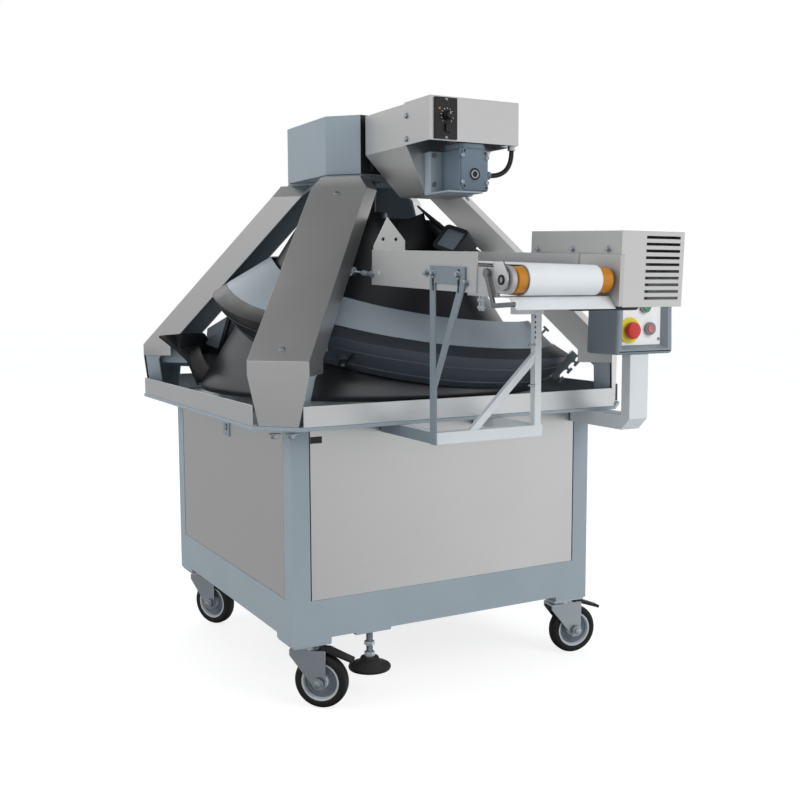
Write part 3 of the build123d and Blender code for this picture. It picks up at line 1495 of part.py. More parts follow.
def make_station():
    arm_back_face = station_arm_front + station_arm_depth
    leg_low = deck_bottom - station_leg_height
    bend = station_elbow
    outline = [(station_arm_front, station_bottom), (arm_back_face, station_bottom),
               (arm_back_face, deck_bottom), (station_leg_back, deck_bottom), (station_leg_back, leg_low),
               (station_arm_front + bend, leg_low), (station_arm_front, leg_low + bend)]
    pieces["station_arm"] = outline_yz(outline, station_arm_left, station_arm_right)

    body = block(station_left, station_right, station_front, station_back, station_bottom, station_top)
    body = fillet(body.edges().filter_by(Axis.Z), station_round)
    gap = seam_gap
    body -= block(plate_left - gap, plate_right + gap, station_front - 1, plate_front + plate_sheet,
                  plate_bottom - gap, plate_top + gap)
    ledge = station_ledge
    body -= block(plate_left + ledge, plate_right - ledge, plate_front, plate_front + estop_tail,
                  plate_bottom + ledge, plate_top - ledge)
    wall = station_wall
    cavity_front = plate_front + plate_sheet + wall
    body -= block(station_left + wall, station_right - wall, cavity_front, station_back - wall,
                  station_bottom + wall, station_top - wall)
    pieces["control_housing"] = body

    plate = block(plate_left, plate_right, plate_front, plate_front + plate_sheet, plate_bottom, plate_top)
    plate -= bar_y(estop_x, plate_front - 1, plate_front + 9, estop_z, estop_neck + 2 * seam_gap)
    ring = bar_y(estop_x, plate_front - estop_ring_thickness, plate_front, estop_z, estop_ring)
    ring -= bar_y(estop_x, plate_front - 9, plate_front + 1, estop_z, estop_neck + 2 * seam_gap)
    fittings = [ring]
    bore = button_cap + 2 * seam_gap
    for x, z in ((stop_x, stop_z), (start_x, start_z)):
        plate -= bar_y(x, plate_front - 1, plate_front + 9, z, bore)
        bezel = bar_y(x, plate_front - button_bezel_length, plate_front, z, button_bezel)
        fittings.append(bezel - bar_y(x, plate_front - 20, plate_front + 1, z, bore))
    pieces["control_plate"] = group([plate] + fittings)

    head_back = plate_front - estop_stand
    head = bar_y(estop_x, head_back - estop_head_length, head_back, estop_z, estop_head)
    head = fillet(head.edges().filter_by(GeomType.CIRCLE), estop_head_round)
    head += bar_y(estop_x, head_back, plate_front + estop_tail, estop_z, estop_neck)
    pieces["emergency_stop_button"] = head
    cap_front = plate_front - button_bezel_length - button_cap_stand
    for name, x, z in (("stop_button", stop_x, stop_z), ("start_button", start_x, start_z)):
        pieces[name] = bar_y(x, cap_front, plate_front + button_tail, z, button_cap)


# Screws with domed heads
def make_screws():
    heads = []
    rise = screw_head_height
    ring = Pos(0, 0, rise / 2) * Cylinder(screw_head / 2, rise)
    ring = fillet(ring.edges().group_by(Axis.Z)[-1], screw_dome)
    for azimuth in column_azimuths:
        for height in (cover_cap_height - screw_cap_drop, cover_bend_height + screw_bend_rise):
            spot = Plane(origin=(cover_sum - height, 0, height), z_dir=(1, 0, 1))
            heads.append(Rot(Z=azimuth) * (spot.location * ring))
    side = control_box_width / 2
    for sx in (-1, 1):
        for z in (control_box_bottom + screw_box_rise, control_box_top - screw_box_drop):
            spot = Plane(origin=(sx * side, control_box_back - screw_box_inset, z), z_dir=(sx, 0, 0))
            heads.append(spot.location * ring)
    pieces["machine_screws"] = group(heads)


def make_all():
    make_casters()
    make_feet()
    make_base_frame()
    make_panels()
    make_deck()
    make_columns()
    make_head()
    make_drive()
    make_cone()
    make_track()
    make_brackets()
    make_clamp()
    make_hopper()
    make_duster_drive()
    make_control_box()
    make_conveyor_frame()
    make_conveyor()
    make_conveyor_drive()
    make_conveyor_bracket()
    make_station()
    make_screws()


def middle_shift():
    # Moves the upright axis of the object's box to the origin
    boxes = [shape.bounding_box() for shape in pieces.values()]
    left = min(box.min.X for box in boxes)
    right = max(box.max.X for box in boxes)
    front = min(box.min.Y for box in boxes)
    back = max(box.max.Y for box in boxes)
    return Pos(-(left + right) / 2, -(front + back) / 2, 0)


def main():
    make_all()
    place = middle_shift()
    os.makedirs("parts", exist_ok=True)
    for name, shape in pieces.items():
        export_step(place * shape, os.path.join("parts", name + ".step"))


if __name__ == "__main__":
    main()
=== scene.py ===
import json
import math

import bmesh
import bpy
from mathutils import Matrix, Vector


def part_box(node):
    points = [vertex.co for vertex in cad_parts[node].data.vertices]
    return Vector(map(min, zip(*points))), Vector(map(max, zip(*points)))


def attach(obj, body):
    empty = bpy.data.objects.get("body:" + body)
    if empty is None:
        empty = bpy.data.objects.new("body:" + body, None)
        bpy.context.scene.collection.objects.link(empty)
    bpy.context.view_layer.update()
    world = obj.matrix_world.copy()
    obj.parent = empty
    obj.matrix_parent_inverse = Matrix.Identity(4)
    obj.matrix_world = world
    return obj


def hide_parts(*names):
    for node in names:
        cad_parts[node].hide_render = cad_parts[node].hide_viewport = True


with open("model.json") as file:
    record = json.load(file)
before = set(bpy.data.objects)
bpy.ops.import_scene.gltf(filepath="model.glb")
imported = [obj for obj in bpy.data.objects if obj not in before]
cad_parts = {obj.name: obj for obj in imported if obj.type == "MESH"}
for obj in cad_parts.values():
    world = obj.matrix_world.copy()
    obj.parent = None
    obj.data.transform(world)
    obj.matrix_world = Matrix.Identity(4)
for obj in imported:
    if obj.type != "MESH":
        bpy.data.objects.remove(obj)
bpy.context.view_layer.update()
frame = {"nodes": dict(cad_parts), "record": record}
print("stage: frame loaded,", len(frame["nodes"]), "nodes")

# Pieces are drawn in millimetres round the upright axis of the cone and put in the frame at the end
mm = 0.001
shaftLow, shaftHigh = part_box("main_shaft")
axisX = (shaftLow.x + shaftHigh.x) / 2
axisY = (shaftLow.y + shaftHigh.y) / 2
toFrame = Matrix.Translation((axisX, axisY, 0)) @ Matrix.Scale(mm, 4)
plain = Matrix.Identity(4)
up = Vector((0, 0, 1))
toFront = Vector((0, -1, 0))
toLeft = Vector((-1, 0, 0))


# camera, light and floor
view = {
    "place": (-1296.3, -2519.8, 949.4),
    "yaw": 28.79,  # bearing of the view from +Y towards +X
    "pitch": 5.98,  # downwards
    "roll": -0.20,
    "focal": 1056.3,  # in pixels
    "pixels": 800,
    "sensor": 36.0,
}
lamps = {
    "key": {"place": (1.6, -3.6, 2.9), "size": 2.6, "power": 80, "mirrored": False},
    "fill": {"place": (-3.6, 0.7, 2.1), "size": 2.8, "power": 38, "mirrored": False},
    "back": {"place": (0.6, 3.4, 3.0), "size": 2.6, "power": 40, "mirrored": True},
}
lampAim = Vector((0, 0.1, 0.75))
white = (1, 1, 1, 1)
# the room that metal mirrors: a run gives where it starts and ends, then its level at both
room = {
    "ambient": 0.62,
    "ambientTone": (0.97, 0.985, 1, 1),
    "dimWay": (0.30, -0.10, 0.95),
    "ceiling": (0.50, 0.85, 1.0, 0.06),  # dim where the ray goes dimWay
    "across": (-0.20, 0.60, 0.80, 1.0),  # a little less from the left
    "under": (-0.75, -0.35, 0.12, 1.0),  # hardly any from underneath
    "wallTop": (-0.95, -0.60, -0.08, 0.08),  # how high the wall goes, by the ray's X
    "wallEdge": (-0.04, 0.06, 1.0, 0.0),
    "wall": ((-0.85, 0.34), (-0.5, 0.60), (0.1, 0.52), (0.32, 0.52), (0.54, 1.0)),  # its level, by the ray's X
}
floorFacts = {"half": 30, "tone": (0.82, 0.82, 0.82, 1), "seenTone": (0.32, 0.32, 0.32, 1), "glow": 0.80}


def addObject(name, data):
    thing = bpy.data.objects.new(name, data)
    bpy.context.scene.collection.objects.link(thing)
    return thing


def makeCamera():
    yaw = math.radians(view["yaw"])
    pitch = math.radians(view["pitch"])
    roll = math.radians(view["roll"])
    forward = Vector((math.sin(yaw) * math.cos(pitch), math.cos(yaw) * math.cos(pitch), -math.sin(pitch)))
    level = Vector((math.cos(yaw), -math.sin(yaw), 0))
    above = level.cross(forward)
    right = level * math.cos(roll) + above * math.sin(roll)
    head = above * math.cos(roll) - level * math.sin(roll)
    data = bpy.data.cameras.new("camera")
    data.sensor_width = view["sensor"]
    data.lens = view["sensor"] * view["focal"] / view["pixels"]
    camera = addObject("camera", data)
    turn = Matrix((right, head, -forward)).transposed().to_4x4()
    camera.matrix_world = Matrix.Translation(toFrame @ Vector(view["place"])) @ turn
    bpy.context.scene.camera = camera


def emptyTree(owner):
    owner.use_nodes = True
    owner.node_tree.nodes.clear()
    return owner.node_tree


def addNode(tree, kind, feeds=None, **settings):
    # feeds gives each input a value, or the socket that leads to it
    node = tree.nodes.new(kind)
    for key, value in settings.items():
        setattr(node, key, value)
    for key, value in (feeds or {}).items():
        if isinstance(value, bpy.types.NodeSocket):
            tree.links.new(value, node.inputs[key])
        else:
            node.inputs[key].default_value = value
    return node


def addMath(tree, operation, *values):
    return addNode(tree, "ShaderNodeMath", dict(enumerate(values)), operation=operation).outputs[0]


def addRange(tree, value, start, end, startTo=0.0, endTo=1.0, kind="LINEAR"):
    feeds = {"Value": value, "From Min": start, "From Max": end, "To Min": startTo, "To Max": endTo}
    return addNode(tree, "ShaderNodeMapRange", feeds, interpolation_type=kind).outputs[0]


def addNoise(tree, vector, scale, detail, roughness=0.5):
    feeds = {"Vector": vector, "Scale": scale, "Detail": detail, "Roughness": roughness}
    return addNode(tree, "ShaderNodeTexNoise", feeds).outputs["Fac"]


def addMix(tree, share, first, second):
    feeds = {"Factor": share, "A": first, "B": second}
    return addNode(tree, "ShaderNodeMix", feeds, data_type="RGBA").outputs["Result"]


def addBlend(tree, share, first, second):
    feeds = {0: share, 1: first.outputs[0], 2: second.outputs[0]}
    return addNode(tree, "ShaderNodeMixShader", feeds)


def makeWorld():
    world = bpy.data.worlds.new("studio")
    bpy.context.scene.world = world
    tree = emptyTree(world)
    path = addNode(tree, "ShaderNodeLightPath").outputs
    ray = addNode(tree, "ShaderNodeTexCoord").outputs["Generated"]
    split = addNode(tree, "ShaderNodeSeparateXYZ", {0: ray}).outputs
    overhead = addNode(tree, "ShaderNodeVectorMath", {0: ray, 1: room["dimWay"]}, operation="DOT_PRODUCT")
    ceiling = addRange(tree, overhead.outputs["Value"], *room["ceiling"], kind="SMOOTHSTEP")
    across = addRange(tree, split["X"], *room["across"], kind="SMOOTHSTEP")
    under = addRange(tree, split["Z"], *room["under"], kind="SMOOTHSTEP")
    upper = addMath(tree, "MULTIPLY", addMath(tree, "MULTIPLY", ceiling, across), under)
    wallTop = addRange(tree, split["X"], *room["wallTop"])
    below = addRange(tree, addMath(tree, "SUBTRACT", split["Z"], wallTop), *room["wallEdge"])
    wall = addNode(tree, "ShaderNodeValToRGB", {0: addMath(tree, "MULTIPLY_ADD", split["X"], 0.5, 0.5)})
    stops = wall.color_ramp.elements
    for i, (x, shade) in enumerate(room["wall"]):
        stop = stops[i] if i < 2 else stops.new(1)
        stop.position = (x + 1) / 2
        stop.color = (shade, shade, shade, 1)
    low = addMath(tree, "MULTIPLY", addMath(tree, "SUBTRACT", wall.outputs[0], 1.0), below)
    level = addMath(tree, "MULTIPLY_ADD", low, upper, upper)
    mirrored = addNode(tree, "ShaderNodeBackground", {"Color": white, "Strength": level})
    seen = addNode(tree, "ShaderNodeBackground", {"Color": white})
    ambient = addNode(tree, "ShaderNodeBackground", {"Color": room["ambientTone"], "Strength": room["ambient"]})
    shiny = addMath(tree, "MAXIMUM", path["Is Glossy Ray"], path["Is Transmission Ray"])
    shown = addBlend(tree, path["Is Camera Ray"], addBlend(tree, shiny, ambient, mirrored), seen)
    addNode(tree, "ShaderNodeOutputWorld", {0: shown.outputs[0]})


def makeLamps():
    for name, facts in lamps.items():
        data = bpy.data.lights.new(name, "AREA")
        data.size = facts["size"]
        data.energy = facts["power"]
        lamp = addObject(name, data)
        lamp.location = facts["place"]
        lamp.visible_glossy = facts["mirrored"]
        lamp.rotation_euler = (lampAim - Vector(facts["place"])).to_track_quat("-Z", "Y").to_euler()


def makeFloor():
    bm = bmesh.new()
    bmesh.ops.create_grid(bm, x_segments=1, y_segments=1, size=floorFacts["half"])
    mesh = bpy.data.meshes.new("floor")
    bm.to_mesh(mesh)
    bm.free()
    floor = addObject("floor", mesh)
    material = bpy.data.materials.new("paleFloor")
    tree = emptyTree(material)
    lit = addNode(tree, "ShaderNodeBsdfDiffuse", {"Color": floorFacts["tone"]})
    soft = addNode(tree, "ShaderNodeBsdfDiffuse", {"Color": floorFacts["seenTone"]})
    glow = addNode(tree, "ShaderNodeEmission", {"Strength": floorFacts["glow"]})
    pale = addNode(tree, "ShaderNodeAddShader", {0: soft.outputs[0], 1: glow.outputs[0]})
    path = addNode(tree, "ShaderNodeLightPath").outputs
    direct = addMath(tree, "MAXIMUM", path["Is Camera Ray"], path["Is Glossy Ray"])
    seen = addMath(tree, "MAXIMUM", direct, path["Is Transmission Ray"])
    addNode(tree, "ShaderNodeOutputMaterial", {0: addBlend(tree, seen, lit, pale).outputs[0]})
    mesh.materials.append(material)
    floor.visible_glossy = False  # metal mirrors the room instead


makeCamera()
makeWorld()
makeLamps()
makeFloor()
bpy.context.scene.view_settings.view_transform = "Standard"
print("stage: camera, light and floor")


# effects that several finishes share
def newGroup(name, inputs, outputs):
    group = bpy.data.node_groups.new(name, "ShaderNodeTree")
    for label, value in inputs.items():
        socket = group.interface.new_socket(name=label, in_out="INPUT", socket_type="NodeSocketFloat")
        socket.default_value = value
    for label in outputs:
        group.interface.new_socket(name=label, in_out="OUTPUT", socket_type="NodeSocketFloat")
    given = addNode(group, "NodeGroupInput").outputs
    place = addNode(group, "ShaderNodeTexCoord").outputs["Object"]
    return group, given, place


def brushedGrain():
    # streaks that run level on upright sheet
    group, given, place = newGroup("brushedGrain", {"Length": 6, "Fineness": 700}, ("Streak", "Broad"))
    scale = addNode(group, "ShaderNodeCombineXYZ", {0: given["Length"], 1: given["Length"], 2: given["Fineness"]})
    stretched = addNode(group, "ShaderNodeVectorMath", {0: place, 1: scale.outputs[0]}, operation="MULTIPLY")
    streak = addNoise(group, stretched.outputs[0], 1, 4, 0.62)
    addNode(group, "NodeGroupOutput", {"Streak": streak, "Broad": addNoise(group, place, 5, 3)})
    return group


def fineTexture():
    # the pebbled skin of powder coat, castings and moulded plastic
    group, given, place = newGroup("fineTexture", {"Fineness": 900}, ("Pebble", "Broad"))
    pebble = addNoise(group, place, given["Fineness"], 2)
    addNode(group, "NodeGroupOutput", {"Pebble": pebble, "Broad": addNoise(group, place, 7, 4)})
    return group


def edgeRub():
    # lighter where handling rubs an edge: the rounded normal leaves the true one there
    group, given, place = newGroup("edgeRub", {"Reach": 0.002, "Amount": 0.4}, ("Mask",))
    rounded = addNode(group, "ShaderNodeBevel", {"Radius": given["Reach"]}, samples=3)
    true = addNode(group, "ShaderNodeNewGeometry").outputs["Normal"]
    same = addNode(group, "ShaderNodeVectorMath", {0: rounded.outputs[0], 1: true}, operation="DOT_PRODUCT")
    edge = addRange(group, same.outputs["Value"], 0.985, 0.80)
    broken = addMath(group, "MULTIPLY", edge, addNoise(group, place, 45, 3))
    addNode(group, "NodeGroupOutput", {"Mask": addMath(group, "MULTIPLY", broken, given["Amount"])})
    return group


def flourDust():
    # a thin film on what faces up
    group, given, place = newGroup("flourDust", {"Amount": 0.2}, ("Mask",))
    facing = addNode(group, "ShaderNodeNewGeometry").outputs["Normal"]
    upward = addNode(group, "ShaderNodeSeparateXYZ", {0: facing}).outputs["Z"]
    film = addMath(group, "MULTIPLY", addRange(group, upward, 0.35, 1.0), addNoise(group, place, 16, 6))
    addNode(group, "NodeGroupOutput", {"Mask": addMath(group, "MULTIPLY", film, given["Amount"])})
    return group


groups = {
    "brushed": brushedGrain(),
    "textured": fineTexture(),
    "rub": edgeRub(),
    "dust": flourDust(),
}


def linear(rgb):
    # a colour sampled as 0 to 255 becomes the linear value a socket takes
    values = []
    for part in rgb:
        share = part / 255
        values.append(share / 12.92 if share <= 0.04045 else ((share + 0.055) / 1.055) ** 2.4)
    return (*values, 1)


# finishes: slot in the record, two tones, range of roughness, fineness and bump of the skin, rub of the edges
finishColumns = ("slot", "darker", "paler", "rough", "fineness", "bump", "rub")
finishRows = {
    "framePaint": ("frame_paint", (145, 158, 167), (155, 168, 176), (0.42, 0.56), 620, 0.16, 0.35),
    "framePale": ("frame_paint", (206, 212, 216), (216, 221, 224), (0.40, 0.54), 620, 0.14, 0.35),
    # painted shade: a darker copy of the pale frame paint, for the V plate
    "veeShadePaint": ("frame_paint", (118, 130, 139), (128, 140, 149), (0.40, 0.54), 620, 0.14, 0.35),
    "castingPaint": ("casting_paint", (160, 172, 181), (170, 182, 191), (0.44, 0.58), 520, 0.14, 0.30),
    "coverPale": ("casting_paint", (140, 152, 161), (150, 162, 171), (0.44, 0.58), 520, 0.14, 0.30),
    "castingGrey": ("casting_paint", (94, 105, 115), (104, 115, 125), (0.45, 0.60), 420, 0.20, 0.30),
    "castingBlack": ("casting_paint", (19, 20, 22), (27, 28, 31), (0.42, 0.58), 520, 0.14, 0.20),
    "castingDark": ("casting_paint", (66, 74, 83), (75, 83, 92), (0.45, 0.60), 420, 0.20, 0.30),
    "bandDark": ("casting_paint", (48, 54, 62), (57, 63, 71), (0.50, 0.64), 700, 0.12, 0.25),
    "stainless": ("stainless", (206, 207, 207), (214, 214, 213), (0.34, 0.42), 900, 0.03, 0.2),
    "rimPale": ("stainless", (216, 219, 221), (224, 226, 227), (0.34, 0.44), 900, 0.03, 0.2),
    "stainlessDull": ("stainless", (188, 189, 189), (198, 198, 198), (0.42, 0.54), 900, 0.03, 0.2),
    "bareSteel": ("bare_steel", (132, 136, 140), (156, 160, 163), (0.34, 0.52), 300, 0.06, 0.3),
    "gearGrey": ("bare_steel", (94, 111, 125), (105, 122, 135), (0.42, 0.55), 520, 0.18, 0.4),
    "zinc": ("zinc", (178, 188, 196), (192, 201, 208), (0.32, 0.46), 260, 0.05, 0.3),
    "tyreRubber": ("wheel_rubber", (11, 11, 12), (18, 18, 19), (0.58, 0.74), 360, 0.14, 0.12),
    "rimGrey": ("zinc", (176, 181, 185), (196, 200, 203), (0.40, 0.55), 300, 0.08, 0.2),
    "rimShade": ("zinc", (98, 110, 120), (112, 123, 132), (0.40, 0.55), 300, 0.08, 0.2),
    "footRubber": ("foot_rubber", (12, 12, 13), (20, 20, 21), (0.52, 0.70), 500, 0.10, 0.15),
    "pedalPlastic": ("pedal_plastic", (18, 18, 19), (30, 30, 32), (0.42, 0.60), 800, 0.10, 0.25),
    "coneCoat": ("cone_coating", (92, 94, 97), (99, 101, 104), (0.35, 0.45), 900, 0.06, 0.15),
    "blackPlastic": ("black_plastic", (15, 15, 16), (25, 25, 27), (0.36, 0.54), 1100, 0.08, 0.2),
    "cableSheath": ("cable_sheath", (17, 17, 18), (26, 26, 27), (0.45, 0.60), 1500, 0.06, 0.0),
    "beltWhite": ("belt_white", (214, 219, 224), (226, 230, 233), (0.48, 0.62), 1200, 0.07, 0.0),
    "rollerPlastic": ("roller_plastic", (178, 112, 6), (196, 130, 10), (0.34, 0.46), 600, 0.06, 0.25),
    "housingPlastic": ("housing_plastic", (124, 135, 143), (134, 145, 153), (0.36, 0.50), 1000, 0.10, 0.35),
    "platePaint": ("plate_paint", (226, 227, 227), (236, 237, 237), (0.40, 0.54), 500, 0.04, 0.1),
    "warnYellow": ("plate_paint", (216, 202, 48), (226, 214, 62), (0.36, 0.50), 900, 0.05, 0.1),
    "stopRed": ("stop_red", (186, 40, 38), (202, 54, 50), (0.26, 0.40), 900, 0.05, 0.3),
    "paleRed": ("stop_red", (176, 104, 108), (190, 122, 126), (0.28, 0.40), 900, 0.04, 0.2),
    "startGreen": ("start_green", (58, 132, 84), (70, 148, 96), (0.28, 0.40), 900, 0.04, 0.2),
    "lampAmber": ("roller_plastic", (214, 116, 24), (230, 138, 36), (0.20, 0.32), 900, 0.03, 0.1),
    "bezelGrey": ("housing_plastic", (112, 116, 122), (128, 132, 137), (0.30, 0.44), 900, 0.05, 0.25),
}
finishes = {name: dict(zip(finishColumns, row)) for name, row in finishRows.items()}
brushed = ("stainless", "rimPale", "stainlessDull", "bareSteel", "platePaint")
metallic = {"stainless": 1.0, "rimPale": 1.0, "stainlessDull": 0.55, "bareSteel": 1.0, "zinc": 1.0, "coneCoat": 1.0}
dusty = {"tyreRubber": 0.10, "footRubber": 0.10, "pedalPlastic": 0.15, "coneCoat": 0.05, "beltWhite": 0.3}
blending = {
    "tone": (0.65, 1.35),  # fine and broad noise together, from the first tone to the second
    "rough": (0.30, 0.70),  # broad noise over the range of roughness
    "bumpDepth": 0.001,
    "wornGain": 1.22,
    "wornLift": 16,
    "dustTone": (190, 186, 178),
}


def makeFinish(name):
    facts = finishes[name]
    material = bpy.data.materials.new(name)
    tree = emptyTree(material)
    grain = groups["brushed" if name in brushed else "textured"]
    skin = addNode(tree, "ShaderNodeGroup", {"Fineness": facts["fineness"]}, node_tree=grain)
    fine, broad = skin.outputs
    share = addRange(tree, addMath(tree, "ADD", fine, broad), *blending["tone"])
    colour = addMix(tree, share, linear(facts["darker"]), linear(facts["paler"]))
    worn = [min(255, part * blending["wornGain"] + blending["wornLift"]) for part in facts["paler"]]
    effects = (("rub", facts["rub"], worn), ("dust", dusty.get(name, 0), blending["dustTone"]))
    for effect, amount, tone in effects:
        if amount > 0:
            mask = addNode(tree, "ShaderNodeGroup", {"Amount": amount}, node_tree=groups[effect])
            colour = addMix(tree, mask.outputs["Mask"], colour, linear(tone))
    rough = addRange(tree, broad, *blending["rough"], *facts["rough"])
    relief = {"Strength": facts["bump"], "Distance": blending["bumpDepth"], "Height": fine}
    bump = addNode(tree, "ShaderNodeBump", relief).outputs[0]
    feeds = {"Base Color": colour, "Metallic": metallic.get(name, 0), "Roughness": rough, "Normal": bump}
    shader = addNode(tree, "ShaderNodeBsdfPrincipled", feeds)
    addNode(tree, "ShaderNodeOutputMaterial", {0: shader.outputs[0]})
    return material


materials = {name: makeFinish(name) for name in finishes}
print("stage:", len(materials), "finishes")


# making and finishing a piece
nodeBody = {node: body for body, nodes in frame["record"]["behaviour"]["bodies"].items() for node in nodes}
cleaning = {"merge": 0.000002, "flat": 0.6, "edgeAngle": 40, "edgeSegments": 2, "weld": 0.001}


def at(spot, axis=up):
    return Matrix.Translation(spot) @ up.rotation_difference(Vector(axis)).to_matrix().to_4x4()


def turned(degrees, axis):
    return Matrix.Rotation(math.radians(degrees), 4, axis)


def finishPiece(bm, name, body, finish, standsFor=(), sharp=35, bevel=0.0, inFrame=False):
    # finish is one name, or several for the faces' material numbers
    names = [finish] if isinstance(finish, str) else list(finish)
    if not inFrame:
        bm.transform(toFrame)
    mesh = bpy.data.meshes.new(name)
    bm.to_mesh(mesh)
    bm.free()
    mesh.polygons.foreach_set("use_smooth", [True] * len(mesh.polygons))
    mesh.set_sharp_from_angle(angle=math.radians(sharp))
    for each in names:
        mesh.materials.append(materials[each])
    piece = addObject(name, mesh)
    if bevel > 0:
        rounding = piece.modifiers.new("rounding", "BEVEL")
        rounding.width = bevel * mm
        rounding.segments = cleaning["edgeSegments"]
        rounding.limit_method = "ANGLE"
        rounding.angle_limit = math.radians(cleaning["edgeAngle"])
        rounding.use_clamp_overlap = False
        rounding.harden_normals = True
    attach(piece, body)
    if standsFor:
        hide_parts(*standsFor)


def replaceNode(bm, node, ending, finish, sharp=35):
    # the piece stands for one CAD node and rides with its body
    finishPiece(bm, node + ending, nodeBody[node], finish, (node,), sharp)


def dress(node, finish, bevel=0.6, choose=None):
    # a copy of the CAD node with its flats joined up, its edges rounded and its finish on
    bm = bmesh.new()
    bm.from_mesh(frame["nodes"][node].data)
    bmesh.ops.remove_doubles(bm, verts=bm.verts, dist=cleaning["merge"])
    bmesh.ops.dissolve_limit(bm, angle_limit=math.radians(cleaning["flat"]), verts=bm.verts, edges=bm.edges,
                             use_dissolve_boundaries=False)
    if choose:
        back = toFrame.inverted()
        for face in bm.faces:
            face.material_index = choose(back @ face.calc_center_median(), face.normal)
    finishPiece(bm, node + "_dressed", nodeBody[node], finish, (node,), bevel=bevel, inFrame=True)


def joinInto(bm, part, place=plain, number=None):
    # put a shape made on its own into a piece, with the number of its finish if one is given
    part.transform(place)
    if number is not None:
        for face in part.faces:
            face.material_index = number
    step = bpy.data.meshes.new("step")
    part.to_mesh(step)
    part.free()
    bm.from_mesh(step)
    bpy.data.meshes.remove(step)


def roundEdges(bm, edges, offset, segments=2):
    bmesh.ops.bevel(bm, geom=edges, offset=offset, segments=segments, profile=0.5, affect="EDGES", material=-1)


def drawOut(bm, face, shift):
    made = bmesh.ops.extrude_face_region(bm, geom=[face])
    moved = [v for v in made["geom"] if isinstance(v, bmesh.types.BMVert)]
    bmesh.ops.translate(bm, vec=shift, verts=moved)


def newBox(low, high):
    low, high = Vector(low), Vector(high)
    part = bmesh.new()
    bmesh.ops.create_cube(part, size=1)
    bmesh.ops.scale(part, vec=high - low, verts=part.verts)
    bmesh.ops.translate(part, vec=(low + high) / 2, verts=part.verts)
    return part


def addSpun(bm, profile, place=plain, steps=48, number=0):
    # profile is (radius, height) from one end to the other, spun about the local upright
    part = bmesh.new()
    verts = [part.verts.new((radius, 0, height)) for radius, height in profile]
    edges = [part.edges.new(pair) for pair in zip(verts, verts[1:])]
    bmesh.ops.spin(part, geom=verts + edges, axis=(0, 0, 1), cent=(0, 0, 0), dvec=(0, 0, 0), angle=math.tau,
                   steps=steps, use_merge=True)
    bmesh.ops.remove_doubles(part, verts=part.verts, dist=cleaning["weld"])
    bmesh.ops.recalc_face_normals(part, faces=part.faces)
    joinInto(bm, part, place, number)


def addRod(bm, spot, axis, radius, length, steps):
    addSpun(bm, [(0, 0), (radius, 0), (radius, length), (0, length)], at(spot, axis), steps)


def addDisc(bm, spot, axis, radius, height, edge=0.4, steps=32, number=0):
    # a turned boss, washer or head whose base sits at spot
    edge = min(edge, height * 0.45, radius * 0.4)
    profile = [(0, 0), (radius, 0), (radius, height - edge), (radius - edge, height), (0, height)]
    addSpun(bm, profile, at(spot, axis), steps, number)


def addRing(bm, spot, axis, outer, inner, height, edge=0.4, number=0, steps=40):
    profile = [(inner, 0), (outer, 0), (outer, height - edge), (outer - edge, height), (inner + edge, height),
               (inner, height - edge), (inner, 0)]
    addSpun(bm, profile, at(spot, axis), steps, number)


def addBlock(bm, low, high, edge=0.8, place=plain, number=0):
    part = newBox(low, high)
    if edge > 0:
        roundEdges(part, part.edges, edge)
    joinInto(bm, part, place, number)


def addSheet(bm, corners, shift, edge, place=plain, number=0):
    # a flat face drawn out by a shift
    part = bmesh.new()
    drawOut(part, part.faces.new([part.verts.new(corner) for corner in corners]), shift)
    bmesh.ops.recalc_face_normals(part, faces=part.faces)
    roundEdges(part, part.edges, edge)
    joinInto(bm, part, place, number)


def addPlate(bm, outline, thickness, edge=0.5, place=plain, number=0):
    # an outline in the local level plane, drawn up to its thickness
    addSheet(bm, [(x, y, 0) for x, y in outline], (0, 0, thickness), edge, place, number)


# shares of the size across flats, and of the height for the top
hexBolt = {"washer": 0.86, "corner": 0.577, "edge": 0.07, "top": 0.9}


def addHexBolt(bm, spot, axis, across, height, washer=0.0, number=0):
    spot, axis = Vector(spot), Vector(axis).normalized()
    if washer:
        addDisc(bm, spot, axis, across * hexBolt["washer"], washer, steps=24, number=number)
        spot = spot + axis * washer
    corner = across * hexBolt["corner"]
    part = bmesh.new()
    bmesh.ops.create_cone(part, cap_ends=True, segments=6, radius1=corner, radius2=corner, depth=height)
    bmesh.ops.translate(part, vec=(0, 0, height / 2), verts=part.verts)
    top = [e for e in part.edges if all(v.co.z > height * hexBolt["top"] for v in e.verts)]
    roundEdges(part, top, across * hexBolt["edge"])
    joinInto(bm, part, at(spot, axis), number)


def addScrew(bm, spot, axis, radius, height, shape, number=0, steps=24):
    # a head drawn for a radius and a height of one
    addSpun(bm, [(r * radius, h * height) for r, h in shape], at(spot, axis), steps, number)


socketHead = [(0, 0.45), (0.5, 0.45), (0.52, 1), (0.85, 1), (1, 0.82), (1, 0), (0, 0)]
domeHead = [(0, 0.55), (0.34, 0.55), (0.36, 1), (0.62, 0.9), (0.88, 0.55), (1, 0.12), (1, 0), (0, 0)]

